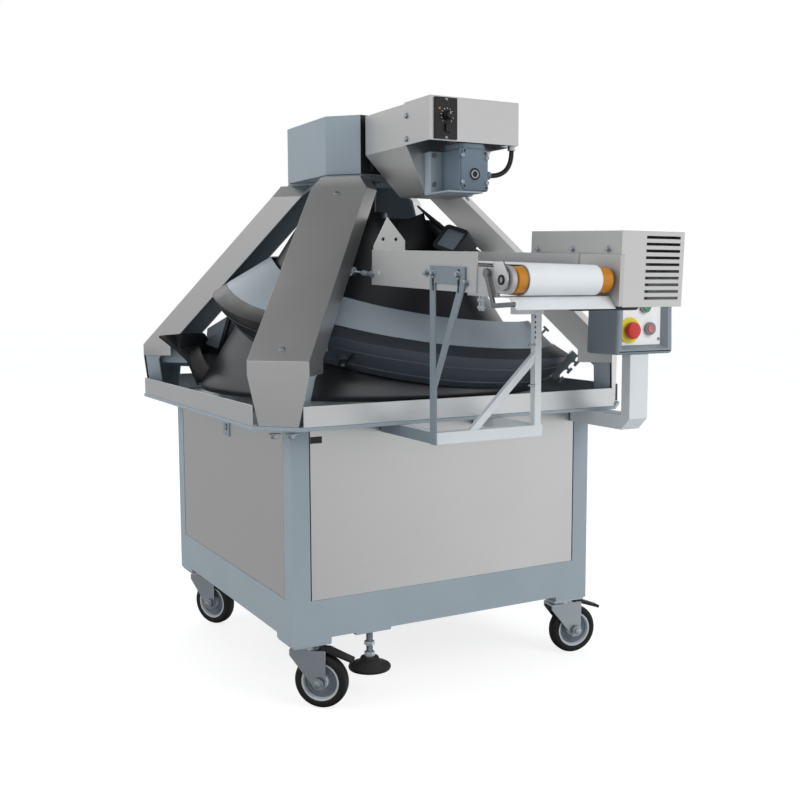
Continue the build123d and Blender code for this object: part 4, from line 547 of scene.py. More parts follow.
# pieces whose CAD shape is right: node, finish and rounding of its edges
plainDress = [
    ("base_frame", "framePaint", 1.3), ("caster_plates", "zinc", 0.6), ("deck_plate", "framePaint", 1.2),
    ("deck_rims", "rimPale", 0.7), ("column_frames", "framePaint", 1.0), ("head_plate", "framePaint", 0.8),
    ("shaft_bearings", "castingDark", 1.0), ("main_shaft", "castingBlack", 0.8),
    ("cone_skirt_ring", "stainless", 0.6), ("main_gearmotor", "gearGrey", 1.0), ("track_brackets", "framePaint", 0.8),
    ("dosing_roller", "rimGrey", 0.5), ("duster_control_box", "stainless", 0.6),
    ("speed_controller", "blackPlastic", 0.7), ("power_toggle", "blackPlastic", 0.6),
    ("conveyor_frame", "stainlessDull", 0.7), ("conveyor_belt", "beltWhite", 0.5), ("idler_roller", "rimGrey", 0.6),
    ("belt_scraper", "beltWhite", 0.6), ("belt_release_lever", "bareSteel", 0.9), ("outlet_chute", "stainless", 0.7),
    ("motor_cover", "stainless", 0.6), ("conveyor_gearmotor", "blackPlastic", 0.8), ("machine_screws", "zinc", 0.3),
    ("column_covers", "stainless", 0.7), ("fixed_panels", "stainless", 0.6), ("flour_hopper", "stainless", 0.6),
    ("station_arm", "framePale", 1.2), ("latch_lock", "zinc", 0.4),
]
splits = {"headFront": -0.95, "veeRight": -187.0}


def headShadeFaces(spot, normal):
    # painted shade: the head's front face, a strip of which shows beside the hopper, is black to stand for the dark
    # gap there
    return 1 if normal.y < splits["headFront"] else 0


def bracketShadeFaces(spot, normal):
    # painted shade: the V plate, the left end of its bracket, takes a darker copy of the bracket paint for the shade
    # on its left face
    return 1 if spot.x < splits["veeRight"] else 0


for node, finish, bevel in plainDress:
    dress(node, finish, bevel)
dress("head_cover", ("framePaint", "castingBlack"), 0.9, headShadeFaces)
dress("conveyor_bracket", ("framePale", "veeShadePaint"), 0.9, bracketShadeFaces)
for corner in ("fl", "fr", "rl", "rr"):
    dress("caster_fork_" + corner, "zinc", 0.8)
for corner in ("fl", "fr"):
    dress("caster_brake_" + corner, "pedalPlastic", 1.0)
print("stage: carried-over pieces dressed")

# cord between the control box and the gearbox: the route's own points
cord = {"route": [(107.5, -496, 1261.41), (107.5, -496, 1203.41), (47.5, -496, 1203.41)], "radius": 5.5,
        "length": 95.8}


def makeCord():
    data = bpy.data.curves.new("duster_cord", "CURVE")
    data.dimensions = "3D"
    spline = data.splines.new("NURBS")
    spline.points.add(len(cord["route"]) - 1)
    for point, spot in zip(spline.points, cord["route"]):
        point.co = (*(toFrame @ Vector(spot)), 1)
    spline.order_u = 3
    spline.use_endpoint_u = True
    spline.resolution_u = 24
    data.bevel_depth = cord["radius"] * mm
    data.bevel_resolution = 6
    data.materials.append(materials["cableSheath"])
    piece = addObject("duster_cord", data)
    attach(piece, nodeBody["duster_cable"])
    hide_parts("duster_cable")


makeCord()
print("stage: cord")

coneFacts = {"bottom": 696, "top": 1125, "base": 459, "slope": 0.634, "wall": 9.5, "lip": 14, "lean": 3,
             "hub": 46, "hubTop": 1150, "crown": 12, "bore": 16, "edge": 2, "rings": 12, "steps": 160}


def coneRadius(z):
    return coneFacts["base"] - coneFacts["slope"] * (z - coneFacts["bottom"])


def makeCone():
    c = coneFacts
    lipZ = c["bottom"] + c["lip"]
    edgeZ = c["top"] - c["edge"]
    rim = coneRadius(lipZ)
    top = coneRadius(c["top"])
    profile = [(c["bore"], c["hubTop"]), (c["hub"] - c["edge"], c["hubTop"]), (c["hub"], c["hubTop"] - c["edge"]),
               (c["hub"], c["top"] + 1), (c["hub"] + 1, c["top"]), (top - c["edge"], c["top"]), (top, edgeZ)]
    for i in range(1, c["rings"]):
        z = edgeZ - (edgeZ - lipZ) * i / c["rings"]
        profile.append((coneRadius(z), z))
    profile += [(rim, lipZ + 1), (rim - c["lean"], c["bottom"] + 1), (rim - c["lean"] - 1, c["bottom"]),
                (rim - c["wall"], c["bottom"]), (rim - c["wall"], lipZ), (top - c["wall"], c["top"] - c["crown"]),
                (c["bore"], c["top"] - c["crown"]), (c["bore"], c["hubTop"])]
    bm = bmesh.new()
    addSpun(bm, profile, steps=c["steps"])
    replaceNode(bm, "cone", "_coated", "coneCoat", sharp=50)


makeCone()

# spiral track: a section is spun round the axis, then wound up the cone
track = {
    "gap": 6.0,
    "mouth": 165.0,  # bearing of the mouth; the turn runs clockwise from it
    "turns": [0, 75, 165, 196, 216, 236, 256, 276, 296, 320, 348, 375, 390, 435, 480, 525, 570, 584, 602],
    "rises": [10, 10, 14, 22, 22, 26, 37.5, 61, 93, 122, 171, 206, 218, 245, 265, 279, 292, 296, 304],
    "sizeTurns": [0, 343, 390, 435, 480, 525, 570, 584, 602],
    "sizes": [1.0, 1.0, 0.81, 0.77, 0.71, 0.68, 0.64, 0.66, 1.02],
    "outline": [(0, 0), (3, -9), (13, -8), (62, 44), (72, 61), (34, 86), (30, 81.5), (60, 60), (52, 46), (20, 12),
                (8, 3)],
    "mouthTurns": [0, 6, 24, 36],
    "mouthSections": [  # open bell, hood and end of the hood, before the plain outline
        [(-4, 1), (-2, -3), (3, 0), (26, 60), (50, 85), (96, 124), (93, 128), (46, 90), (21, 65), (9, 32),
         (1.5, 13)],
        [(-4, 1), (-2, -3), (3, 0), (26, 60), (44, 88), (46, 128), (41.5, 130), (39.5, 90), (21, 64), (9, 32),
         (1.5, 13)],
        [(-4, 1), (-2, -3), (3, 0), (28, 60), (36, 92), (16, 127), (12, 124.5), (31, 91), (22.5, 63), (9, 32),
         (1.5, 13)],
    ],
    "casting": [(0, 0), (0.8, -5), (3, -8.6), (7, -9.4), (11, -9), (13, -8), (21.9, 1.5), (24.4, 1.2), (27.2, 4.1),
                (26.7, 6.6), (51.4, 32.8), (53.9, 32.5), (57, 35.8), (56.6, 38.2), (62, 44), (68, 53.5), (71.2, 59.4),
                (72, 61.2), (71, 62.6), (36, 85.4), (34, 86), (30, 81.5), (58, 61.6), (60, 60), (52, 46), (20, 12),
                (8, 3)],
    "cover": [(33.3, 86.7), (31.6, 88.9), (-29.6, 148.4), (-32, 150), (-34.6, 149), (-35, 146.6), (27.2, 84.3),
              (29.3, 82.2)],
    "upperCover": [(33.3, 86.7), (31.6, 87.9), (-82.8, 155.9), (-85, 157), (-87, 155.4), (-87.4, 152.8), (27.2, 83.6),
                   (29.3, 82.2)],
    "band": {"low": 62, "way": (25, 38), "from": 4010},  # the dark band lies this far along its way
    "wall": (37.5, 18, (0.728, -0.686)),  # a place on the outer wall and the wall's normal
    "coverScrew": (3.9, 115.2, (0.696, 0.718)),
    "step": 2.0,
    "drawRadius": 400.0,
    "seam": (306.5, 308.5),  # hidden behind the front left column
    "coverStart": 206.0,
    "shadedFrom": 520.0,  # painted shade: the end of the upper cover is dark
    "end": 602.0,
}
castingCoats = ("castingDark", "bandDark", "castingBlack", "zinc", "castingGrey", "framePale")
coverCoats = ("castingPaint", "coverPale", "bandDark", "zinc")
coat = {name: number for number, name in enumerate(castingCoats)}


def between(value, xs, ys):
    # smooth monotone run through the stations
    count = len(xs)
    slopes = [(ys[i + 1] - ys[i]) / (xs[i + 1] - xs[i]) for i in range(count - 1)]
    rates = [slopes[0]]
    for i in range(1, count - 1):
        product = slopes[i - 1] * slopes[i]
        rates.append(2 * product / (slopes[i - 1] + slopes[i]) if product > 0 else 0.0)
    rates.append(slopes[-1])
    index = 0
    while index < count - 2 and value > xs[index + 1]:
        index += 1
    width = xs[index + 1] - xs[index]
    t = (value - xs[index]) / width
    early = (1 + 2 * t) * (1 - t) ** 2 * ys[index] + t * (1 - t) ** 2 * width * rates[index]
    late = t * t * (3 - 2 * t) * ys[index + 1] + t * t * (t - 1) * width * rates[index + 1]
    return early + late


def matching(key, out, rise):
    # the point of a key section that matches a point of the plain one
    spot = Vector((out, rise))
    if key == len(track["mouthSections"]):
        return spot
    best = None
    corners, others = track["outline"], track["mouthSections"][key]
    for i in range(len(corners)):
        j = (i + 1) % len(corners)
        start, end = Vector(corners[i]), Vector(corners[j])
        t = min(max((spot - start).dot(end - start) / (end - start).length_squared, 0), 1)
        away = (spot - start.lerp(end, t)).length
        if best is None or away < best[0]:
            best = (away, Vector(others[i]).lerp(Vector(others[j]), t))
    return best[1]


def mouthPoint(turn, out, rise):
    keys = track["mouthTurns"]
    index = 0
    while turn > keys[index + 1]:
        index += 1
    share = (turn - keys[index]) / (keys[index + 1] - keys[index])
    return matching(index, out, rise).lerp(matching(index + 1, out, rise), share * share * (3 - 2 * share))


def trackPoint(turn, out, rise):
    if turn < track["mouthTurns"][-1]:
        out, rise = mouthPoint(turn, out, rise)
    size = between(turn, track["sizeTurns"], track["sizes"])
    height = coneFacts["bottom"] + between(turn, track["turns"], track["rises"])
    radius = coneRadius(height) + track["gap"] + out * size
    bearing = math.radians(track["mouth"] - turn)
    return Vector((radius * math.cos(bearing), radius * math.sin(bearing), height + rise * size))


def trackFrame(turn, out, rise, normal):
    # a place on the track: local upright along the given outward and upward normal
    bearing = math.radians(track["mouth"] - turn)
    outward = Vector((math.cos(bearing), math.sin(bearing), 0))
    axis = (outward * normal[0] + up * normal[1]).normalized()
    side = Vector((-math.sin(bearing), math.cos(bearing), 0))
    lined = Matrix((side, axis.cross(side), axis)).transposed().to_4x4()
    return Matrix.Translation(trackPoint(turn, out, rise)) @ lined


def addTrackRun(bm, section, start, end, choose):
    # spin the closed section over the turn, cap both ends, then wind each point up the cone
    r0 = track["drawRadius"]

    def along(spot):
        bearing = math.degrees(math.atan2(spot.y, spot.x))
        turn = (track["mouth"] - bearing - start + 0.5) % 360 + start - 0.5
        return min(max(turn, start), end), math.hypot(spot.x, spot.y) - r0, spot.z

    part = bmesh.new()
    first = turned(track["mouth"] - start, "Z")
    verts = [part.verts.new(first @ Vector((r0 + out, 0, rise))) for out, rise in section]
    edges = [part.edges.new((verts[i], verts[(i + 1) % len(verts)])) for i in range(len(verts))]
    part.faces.new(verts)
    made = bmesh.ops.spin(part, geom=verts + edges, axis=(0, 0, 1), cent=(0, 0, 0), dvec=(0, 0, 0),
                          angle=-math.radians(end - start), steps=max(2, round((end - start) / track["step"])))
    bmesh.ops.contextual_create(part, geom=[e for e in made["geom_last"] if isinstance(e, bmesh.types.BMEdge)])
    bmesh.ops.recalc_face_normals(part, faces=part.faces)
    for face in part.faces:
        face.material_index = choose(*along(face.calc_center_median()))
    for vert in part.verts:
        vert.co = trackPoint(*along(vert.co))
    joinInto(bm, part)


def bandOrCasting(turn, out, rise):
    # the mouth is black, and the upper outer face carries the dark band
    if turn < track["mouthTurns"][-1]:
        return coat["castingBlack"]
    band = track["band"]
    far = out * band["way"][0] + rise * band["way"][1] > band["from"]
    return coat["bandDark" if rise > band["low"] and far else "castingDark"]


# painted shade: the end of the upper cover takes the dark band's colour
def upperCoverShadeFaces(turn, out, rise):
    return coverCoats.index("bandDark" if turn > track["shadedFrom"] else "coverPale")


teeScrew = {"foot": 6.0, "stem": 3.2, "bar": 3.0, "length": 18.0, "steps": 20}
flange = {"turn": 200.0, "slit": 0.02, "start": 0.4, "half": 22.0, "low": -16.0, "high": 70.0, "root": -4,
          "thick": 17.0, "edge": 2.5, "screws": (-6, 26, 52), "screwStem": 12}
clamp = {"turn": 290, "boss": [(0, -6), (11, -6), (11, 14.8), (9.8, 16), (6.1, 16), (6.1, 3), (0, 3)], "base": 16.5,
         "hub": 11.0, "thick": 9.0, "arm": 36.0, "armStart": 4, "armHalf": 2.6, "armAngle": 45, "armEdge": 1.4,
         "grip": 4.4, "edge": 1.5, "pin": 12.5, "pinRadius": 6, "bolt": (9, 0.8)}
outlet = {
    "coneHeight": 1000, "out": 26, "height": 1075, "shift": (34, -4, 30),
    "tip": ((0.964, 0.217, 0.152), (-0.266, 0.789, 0.550), (0, -0.571, 0.818)),
    "wide": 84.0, "high": 70.0, "deep": 50.0, "wall": 9.5, "round": 14.0, "edge": 2, "back": 6.0, "backHalf": 8,
    "guard": ((-58, -28, 0), (-95, 63, 0), (-95, 36, 84), (-58, -31, 106)),  # outward, up, along
    "guardShift": (5, 2, 0), "guardEdge": 0.8,
}


def addTeeScrew(bm, place, stem, number):
    # screw with a short cross bar, upright at the place
    foot, thin, bar, length = teeScrew["foot"], teeScrew["stem"], teeScrew["bar"], teeScrew["length"]
    profile = [(0, 0), (foot, 0), (foot, 2.5), (thin, 3), (thin, stem), (0, stem)]
    addSpun(bm, profile, place, teeScrew["steps"], number)
    profile = [(0, 0), (bar - 1, 0), (bar, 1), (bar, length - 1), (bar - 1, length), (0, length)]
    lying = place @ Matrix.Translation((0, -length / 2, stem)) @ turned(-90, "X")
    addSpun(bm, profile, lying, teeScrew["steps"], number)


def addFlange(bm, side):
    # half of the bar that joins two castings over their outer wall; painted light: it takes the pale frame paint,
    # lighter than the castings, to read bright in the shade it sits in
    place = trackFrame(flange["turn"], *track["wall"])
    start, end = sorted((side * flange["start"], side * flange["half"]))
    addBlock(bm, (start, flange["low"], flange["root"]), (end, flange["high"], flange["thick"]), flange["edge"], place,
             coat["framePale"])
    for y in flange["screws"]:
        spot = Matrix.Translation(((start + end) / 2, y, flange["thick"]))
        addTeeScrew(bm, place @ spot, flange["screwStem"], coat["zinc"])


def addOutlet(bm):
    # rounded frame at the end of the track, tipped up, beside a plate that leans with the cone
    bearing = math.radians(track["mouth"] - track["end"])
    outward = Vector((math.cos(bearing), math.sin(bearing), 0))
    along = Vector((math.sin(bearing), -math.cos(bearing), 0))
    radius = coneRadius(outlet["coneHeight"]) + track["gap"] + outlet["out"]
    place = Matrix((outward, up, along)).transposed().to_4x4()
    place = Matrix.Translation(outward * radius + up * outlet["height"]) @ place
    halfWide, halfHigh = outlet["wide"] / 2, outlet["high"] / 2
    part = newBox((-halfWide, -halfHigh, -outlet["deep"]), (halfWide, halfHigh, 0))
    roundEdges(part, [e for e in part.edges if abs(e.verts[0].co.z - e.verts[1].co.z) > 1], outlet["round"], 6)
    mouth = max(part.faces, key=lambda f: f.calc_center_median().z)
    bmesh.ops.inset_individual(part, faces=[mouth], thickness=outlet["wall"])
    drawOut(part, mouth, (0, 0, -outlet["back"]))
    bmesh.ops.delete(part, geom=[mouth], context="FACES_ONLY")
    rims = [e for e in part.edges if all(abs(v.co.z) < 0.1 for v in e.verts) and e.calc_face_angle(0) > 0.6]
    roundEdges(part, rims, outlet["edge"])
    bmesh.ops.recalc_face_normals(part, faces=part.faces)
    for face in part.faces:
        spot = face.calc_center_median()
        inside = abs(spot.z + outlet["back"]) < 1 and max(abs(spot.x), abs(spot.y)) < outlet["backHalf"]
        face.material_index = coat["castingGrey" if inside else "castingBlack"]
    joinInto(bm, part, place @ Matrix.Translation(outlet["shift"]) @ Matrix(outlet["tip"]).to_4x4())
    addSheet(bm, outlet["guard"], outlet["guardShift"], outlet["guardEdge"], place, coat["castingBlack"])


def makeTrack():
    seamStart, seamEnd = track["seam"]
    bm = bmesh.new()
    addTrackRun(bm, track["casting"], 0, flange["turn"] - flange["slit"], bandOrCasting)
    addFlange(bm, 1)
    replaceNode(bm, "track_lower", "_casting", castingCoats, sharp=30)
    bm = bmesh.new()
    addTrackRun(bm, track["casting"], flange["turn"] + flange["slit"], seamStart, bandOrCasting)
    addFlange(bm, -1)
    addSpun(bm, clamp["boss"], trackFrame(clamp["turn"], *track["wall"]), 32)
    replaceNode(bm, "track_front", "_casting", castingCoats, sharp=30)
    bm = bmesh.new()
    # painted shade: the whole upper casting is black, darker than the lower castings' paint, for the shade it lies in
    addTrackRun(bm, track["casting"], seamEnd, track["end"], lambda turn, out, rise: coat["castingBlack"])
    addOutlet(bm)
    replaceNode(bm, "track_upper", "_casting", castingCoats, sharp=30)
    bm = bmesh.new()
    addTrackRun(bm, track["cover"], track["coverStart"], seamStart, lambda turn, out, rise: 0)
    addTrackRun(bm, track["upperCover"], seamEnd, track["end"], upperCoverShadeFaces)
    addTeeScrew(bm, trackFrame(track["coverStart"] + 3, *track["coverScrew"]), 20, coverCoats.index("zinc"))
    replaceNode(bm, "track_covers", "_sheet", coverCoats, sharp=30)


makeTrack()


def makeClamp():
    # two-armed lever on the front casting
    place = trackFrame(clamp["turn"], *track["wall"])
    base, hub, pin = clamp["base"], clamp["hub"], clamp["pinRadius"]
    grip, edge, half = clamp["grip"], clamp["edge"], clamp["armHalf"]
    low = base - clamp["pin"]
    top = base + clamp["thick"]
    bm = bmesh.new()
    addSpun(bm, [(0, low), (pin, low), (pin, base), (hub - 1, base), (hub, base + 1), (hub, top - 2), (hub - 2, top),
                 (0, top)], place, 32)
    end = [(0, base), (grip - edge, base), (grip, base + edge), (grip, top - edge), (grip - edge, top), (0, top)]
    for side in (-1, 1):
        arm = place @ turned(side * clamp["armAngle"], "Z")
        addBlock(bm, (clamp["armStart"], -half, base + edge), (clamp["arm"], half, top - edge), clamp["armEdge"], arm)
        addSpun(bm, end, arm @ Matrix.Translation((clamp["arm"], 0, 0)), 24)
    addHexBolt(bm, place @ Vector((0, 0, top)), place.to_3x3() @ up, *clamp["bolt"], number=1)
    replaceNode(bm, "track_clamp_lever", "_arms", ("blackPlastic", "zinc"))


makeClamp()
print("stage: cone and track")

casters = {"spread": 360.0, "trail": 40.0, "radius": 62.5, "width": 32.0, "axleEnd": 30.5, "shade": (19, 38),
           "steps": 72, "nut": (15, 5, 1.5), "swivel": {"fl": -42.0, "fr": -9.0, "rl": -60.0, "rr": -35.0}}


def makeWheels():
    r = casters["radius"]
    half = casters["width"] / 2
    tyre = [(44.5, -half + 1), (47, -half), (55, -half + 0.5), (59.5, -half + 3), (r - 0.4, -half + 8), (r, -4.5),
            (r - 1.2, -4), (r - 1.2, -3.2), (r, -2.7)]
    rim = [(6.1, -half + 1), (17, -half + 1), (18, -half + 2), (18.5, -6), (20, -5), (27, -5.4), (29, -7.2),
           (31, -5.4), (37, -5), (38.5, -6.5), (40, -half + 2), (41.5, -half + 1.2), (44.4, -half + 1.2)]
    # both are the same on either side of the middle
    tyre, rim = [side + [(radius, -z) for radius, z in reversed(side)] + side[:1] for side in (tyre, rim)]
    shadeFrom, shadeTo = casters["shade"]
    for corner, swivel in casters["swivel"].items():
        node = "caster_wheel_" + corner
        x = -casters["spread"] if corner[1] == "l" else casters["spread"]
        y = -casters["spread"] if corner[0] == "f" else casters["spread"]
        pivot = Matrix.Translation((x, y, 0)) @ turned(swivel, "Z")
        place = pivot @ Matrix.Translation((casters["trail"], 0, r)) @ turned(90, "X")
        bm = bmesh.new()
        addSpun(bm, tyre, place, casters["steps"])
        replaceNode(bm, node, "_tyre", "tyreRubber", sharp=40)
        bm = bmesh.new()
        addSpun(bm, rim, place, casters["steps"])
        for face in bm.faces:
            spot = place.inverted() @ face.calc_center_median()
            face.material_index = 1 if shadeFrom < math.hypot(spot.x, spot.y) < shadeTo else 0
        finishPiece(bm, node + "_rim", nodeBody[node], ("rimGrey", "rimShade"))
        bm = bmesh.new()
        for way in (-1, 1):
            spot = pivot @ Vector((casters["trail"], way * casters["axleEnd"], r))
            addHexBolt(bm, spot, pivot.to_3x3() @ Vector((0, way, 0)), *casters["nut"])
        finishPiece(bm, "caster_axle_nuts_" + corner, nodeBody["caster_fork_" + corner], "zinc", sharp=30)


makeWheels()

foot = {"offset": 208.0, "row": 387.5, "base": 68.0, "stem": 8.0, "stemTop": 238.0, "pitch": 2.0, "groove": 0.9,
        "pad": [(0, 0), (44, 0), (48.5, 1.5), (50, 5), (49, 8.5), (45, 11), (30, 15.5), (25, 19), (22.5, 25),
                (21, 28.5), (18, 30), (0, 30)],
        "nut": 21.6, "nuts": ((30, 12), (58, 9))}  # each nut's height above the pad's base, and its own height


def makeFeet():
    stem = foot["stem"]
    for node, side in (("levelling_foot_front", -1), ("levelling_foot_rear", 1)):
        place = Matrix.Translation((side * foot["offset"], side * foot["row"], foot["base"]))
        bm = bmesh.new()
        addSpun(bm, foot["pad"], place, 64)
        replaceNode(bm, node, "_pad", "footRubber", sharp=50)
        bm = bmesh.new()
        z = foot["pad"][-1][1]
        top = foot["stemTop"] - foot["base"]
        thread = [(0, z)]
        while z < top - foot["pitch"]:
            thread += [(stem, z), (stem - foot["groove"], z + foot["pitch"] / 2)]
            z += foot["pitch"]
        thread += [(stem, top - 1.5), (stem - 1.5, top), (0, top)]
        addSpun(bm, thread, place, 24)
        for z, height in foot["nuts"]:
            addHexBolt(bm, place @ Vector((0, 0, z)), up, foot["nut"], height)
        finishPiece(bm, node + "_stem", nodeBody[node], "zinc", sharp=30)


makeFeet()
print("stage: casters and feet")

latchPlate = {"face": -409.2, "half": 24, "bottom": 580}


def doorFaces(spot, normal):
    near = spot.x < latchPlate["face"] and abs(spot.y) < latchPlate["half"]
    return 1 if near and spot.z > latchPlate["bottom"] else 0


dress("left_panel", ("stainless", "zinc"), 0.6, doorFaces)

# outlines of the stay are radius and height
stay = {"bearing": 135.0, "plate": ((412, 880), (442, 785), (486, 798), (480, 842)), "plateThick": 6,
        "bar": ((408, 886), (448, 764)), "barHalf": (5, 8),
        "shadeBlade": ((410, 882), (372, 862), (390, 830), (414, 792), (440, 784)), "shadeBladeThick": 4}
deckBolts = {"spots": ((-459, -444), (-428, -463)), "top": 646.0, "size": (16, 9, 2)}
panelHole = {"low": (-362, -409.9, 612), "high": (-334, -408.5, 627)}


def makeStay():
    # plate and bar between the rear left column and the track, with a black blade painted as the shade beside the bar
    upright = turned(stay["bearing"], "Z") @ turned(90, "X")
    bm = bmesh.new()
    thick = stay["plateThick"]
    addPlate(bm, stay["plate"], thick, 0.8, upright @ Matrix.Translation((0, 0, -thick / 2)))
    (ra, za), (rb, zb) = stay["bar"]
    x, z = stay["barHalf"]
    length = math.hypot(rb - ra, zb - za)
    lean = Matrix.Rotation(math.atan2(rb - ra, za - zb), 4, "Z")
    addBlock(bm, (-x, -length, -z), (x, 0, z), 1, upright @ Matrix.Translation((ra, za, 0)) @ lean, 1)
    # painted shade: a black blade fills the dark gap between the bar and the cone
    thick = stay["shadeBladeThick"]
    addPlate(bm, stay["shadeBlade"], thick, 0.6, upright @ Matrix.Translation((0, 0, -thick / 2)), 1)
    finishPiece(bm, "track_stay", nodeBody["track_brackets"], ("framePaint", "castingBlack"))
    bm = bmesh.new()
    for x, y in deckBolts["spots"]:
        addHexBolt(bm, (x, y, deckBolts["top"]), -up, *deckBolts["size"])
    finishPiece(bm, "deck_corner_bolts", nodeBody["deck_plate"], "zinc", sharp=30)
    bm = bmesh.new()
    # painted shade: a thin black block on the front panel stands for the dark inside of a hole
    addBlock(bm, panelHole["low"], panelHole["high"], 0)
    finishPiece(bm, "front_panel_hole", nodeBody["fixed_panels"], "blackPlastic")


makeStay()

station = {"box": ((304, -640, 797), (475, -528, 985)), "corner": 8, "brim": 3, "taper": 0.06,
           "plateFront": -626.0, "plateLip": 2.3, "rim": (315, 462, 806, 979), "plate": (322, 446, 818, 972),
           "ringReach": 31, "screw": (4, 2), "screws": ((334.7, 830.6), (440.7, 831.2), (334.7, 962), (438, 962))}
buttons = {
    "estop": (352.0, 853.0),
    "head": [(0, -20), (12, -20), (12, 8), (17.5, 8.2), (19.4, 9.2), (20, 11), (19.4, 17), (17.4, 20.2), (13, 21.4),
             (6, 22), (0, 22)],
    "push": (("stop_button", (411.0, 856.0), "paleRed"), ("start_button", (396.0, 908.0), "startGreen")),
    "cap": [(0, -14), (10.5, -14), (10.5, 8.8), (9.7, 9.8), (8.4, 9.9), (7.6, 9.2), (0, 9.0)],
}


def stationFaces(spot, normal):
    # what stands out from the plate is the yellow ring or a bezel
    if spot.y < station["plateFront"] - 0.1:
        x, z = buttons["estop"]
        return 1 if math.hypot(spot.x - x, spot.z - z) < station["ringReach"] else 2
    return 0


dress("control_plate", ("platePaint", "warnYellow", "bezelGrey"), 0.5, stationFaces)


def makeHousing():
    # moulded box whose front slopes in from a rounded frame to the plate
    low, high = Vector(station["box"][0]), Vector(station["box"][1])
    bm = newBox(low, high)
    roundEdges(bm, bm.edges, station["corner"], 4)
    front = min(bm.faces, key=lambda f: f.calc_center_median().y)
    plateY = station["plateFront"] + station["plateLip"]
    for (x0, x1, z0, z1), y in ((station["rim"], low.y), (station["plate"], plateY)):
        bmesh.ops.inset_individual(bm, faces=[front], thickness=4)
        middle = front.calc_center_median()
        for vert in front.verts:
            vert.co = Vector((x0 if vert.co.x < middle.x else x1, y, z0 if vert.co.z < middle.z else z1))
    rimLeft, rimRight = station["rim"][0] - 0.1, station["rim"][1] + 0.1
    inBrim = {v for v in bm.verts if abs(v.co.y - low.y) < 0.01 and rimLeft < v.co.x < rimRight}
    roundEdges(bm, [e for e in bm.edges if inBrim.issuperset(e.verts)], station["brim"], 3)
    for vert in bm.verts:
        share = (vert.co.z - low.z) / (high.z - low.z)
        vert.co.x += ((low.x + high.x) / 2 - vert.co.x) * station["taper"] * share
    replaceNode(bm, "control_housing", "_shell", "housingPlastic", sharp=28)
    bm = bmesh.new()
    for x, z in station["screws"]:
        addScrew(bm, (x, station["plateFront"], z), toFront, *station["screw"], domeHead)
    finishPiece(bm, "control_plate_screws", nodeBody["control_plate"], "zinc")


makeHousing()


def makeButtons():
    x, z = buttons["estop"]
    front = station["plateFront"]
    bm = bmesh.new()
    addSpun(bm, buttons["head"], at((x, front, z), toFront), 48)
    node = "emergency_stop_button"
    finishPiece(bm, "emergency_stop_head", nodeBody[node], "stopRed", (node,), sharp=40)
    for node, (x, z), finish in buttons["push"]:
        bm = bmesh.new()
        addSpun(bm, buttons["cap"], at((x, front, z), toFront), 40)
        replaceNode(bm, node, "_cap", finish, sharp=40)


makeButtons()
print("stage: door and control station")

roller = {"y": -902.0, "z": 966.0, "tilt": 2.5, "bore": 7.6, "ends": ((-172, -149), (17, 50)), "steps": 64,
          "core": [(0, -186), (6.5, -186), (7.5, -185), (7.5, -171), (27, -149), (27, 17), (7.5, 17), (7.5, 68),
                   (5, 68), (5, 140), (0, 140)]}
tilt = Matrix.Translation((0, roller["y"], roller["z"])) @ turned(roller["tilt"], "X")


def makeRoller():
    # local upright becomes +X
    place = tilt @ turned(90, "Y")
    bore = roller["bore"]
    bm = bmesh.new()
    addSpun(bm, roller["core"], place, roller["steps"])
    replaceNode(bm, "drive_roller", "_core", "bareSteel", sharp=30)
    bm = bmesh.new()
    for x0, x1 in roller["ends"]:
        profile = [(bore, x0), (22.5, x0), (25, x0 + 2), (25, x1 - 2), (23.5, x1), (bore, x1), (bore, x0)]
        addSpun(bm, profile, place, roller["steps"])
    finishPiece(bm, "drive_roller_ends", nodeBody["drive_roller"], "rollerPlastic", sharp=30)


makeRoller()

guideLeft, veeLeft, plateRight, coverLeft = -188.0, -192.0, 68.0, 78.0
veeBolts = ((-652.8, 980.9), (-749.0, 976.4))
fittings = {
    "bolts": (  # the side they sit on, their places, then size across, height and washer
        (veeLeft, veeBolts, (10, 6, 1.5)),
        (guideLeft, ((-619.3, 983.4), (-773.4, 961.8)), (10, 6, 1.5)),
        (coverLeft, ((-641.3, 1035.3), (-761.7, 1031.1), (-874.3, 1027.2)), (9, 5, 1.2)),
        (plateRight, ((-874.2, 992.4), (-875.5, 940.3)), (9, 4, 1.2)),
    ),
    "tension": {"rows": (-812, -822), "inward": 6, "foot": 908, "radius": 3, "length": 38, "nuts": (912, 926),
                "nut": (9, 5)},
    "link": {"ends": ((-286, 992), (-372, 985)), "outward": 6, "radius": 3.2, "nuts": (0.62, 0.78), "nut": (11, 5),
             "eyes": ((5, 0, 0), (5, 13, 1.3)), "eye": (11, 5, 10, 0.8), "boltBack": 4, "bolt": (11, 7, 1.5)},
    "bearing": (-192, -899, 966), "bearingRing": (9.6, 5.4, 2.4, 0.4), "bearingPin": (5.2, 1.2, 0.3),
    "bearingPlate": ((21, 0), (16, -15), (0, -21), (-16, -15), (-21, 0), (-18, 13), (-4, 34), (28, 34), (26, 16)),
    "post": (63.5, -655), "pegs": (829, 741), "peg": [(0, 0), (2.5, 0), (2.5, 17), (1.8, 18), (0, 18)],
    "holes": [845 + i * 11 for i in range(6)], "hole": (2.6, 0.3, 0.1),
    "slot": {"half": 2.6, "below": 34, "above": 10, "proud": 0.4, "depth": 1},
    "guideSlot": ((-642, 980), (-606, 986)),
    "motorEnd": ((0, -880, 906), (156, -846, 922)),
    "scraper": {"spots": ((-150, -13, -45.2), (-68, -13, -45.2), (14, -13, -45.2)), "normal": (0, -0.74, 0.67),
                "screw": (4, 1.6)},
}


def addSlot(bm, x, low, high):
    # painted shade: a dark patch laid on the left of a sheet where a slot's shade would show
    slot = fittings["slot"]
    addBlock(bm, (x - slot["proud"], *low), (x + slot["depth"], *high), 0, plain, 1)


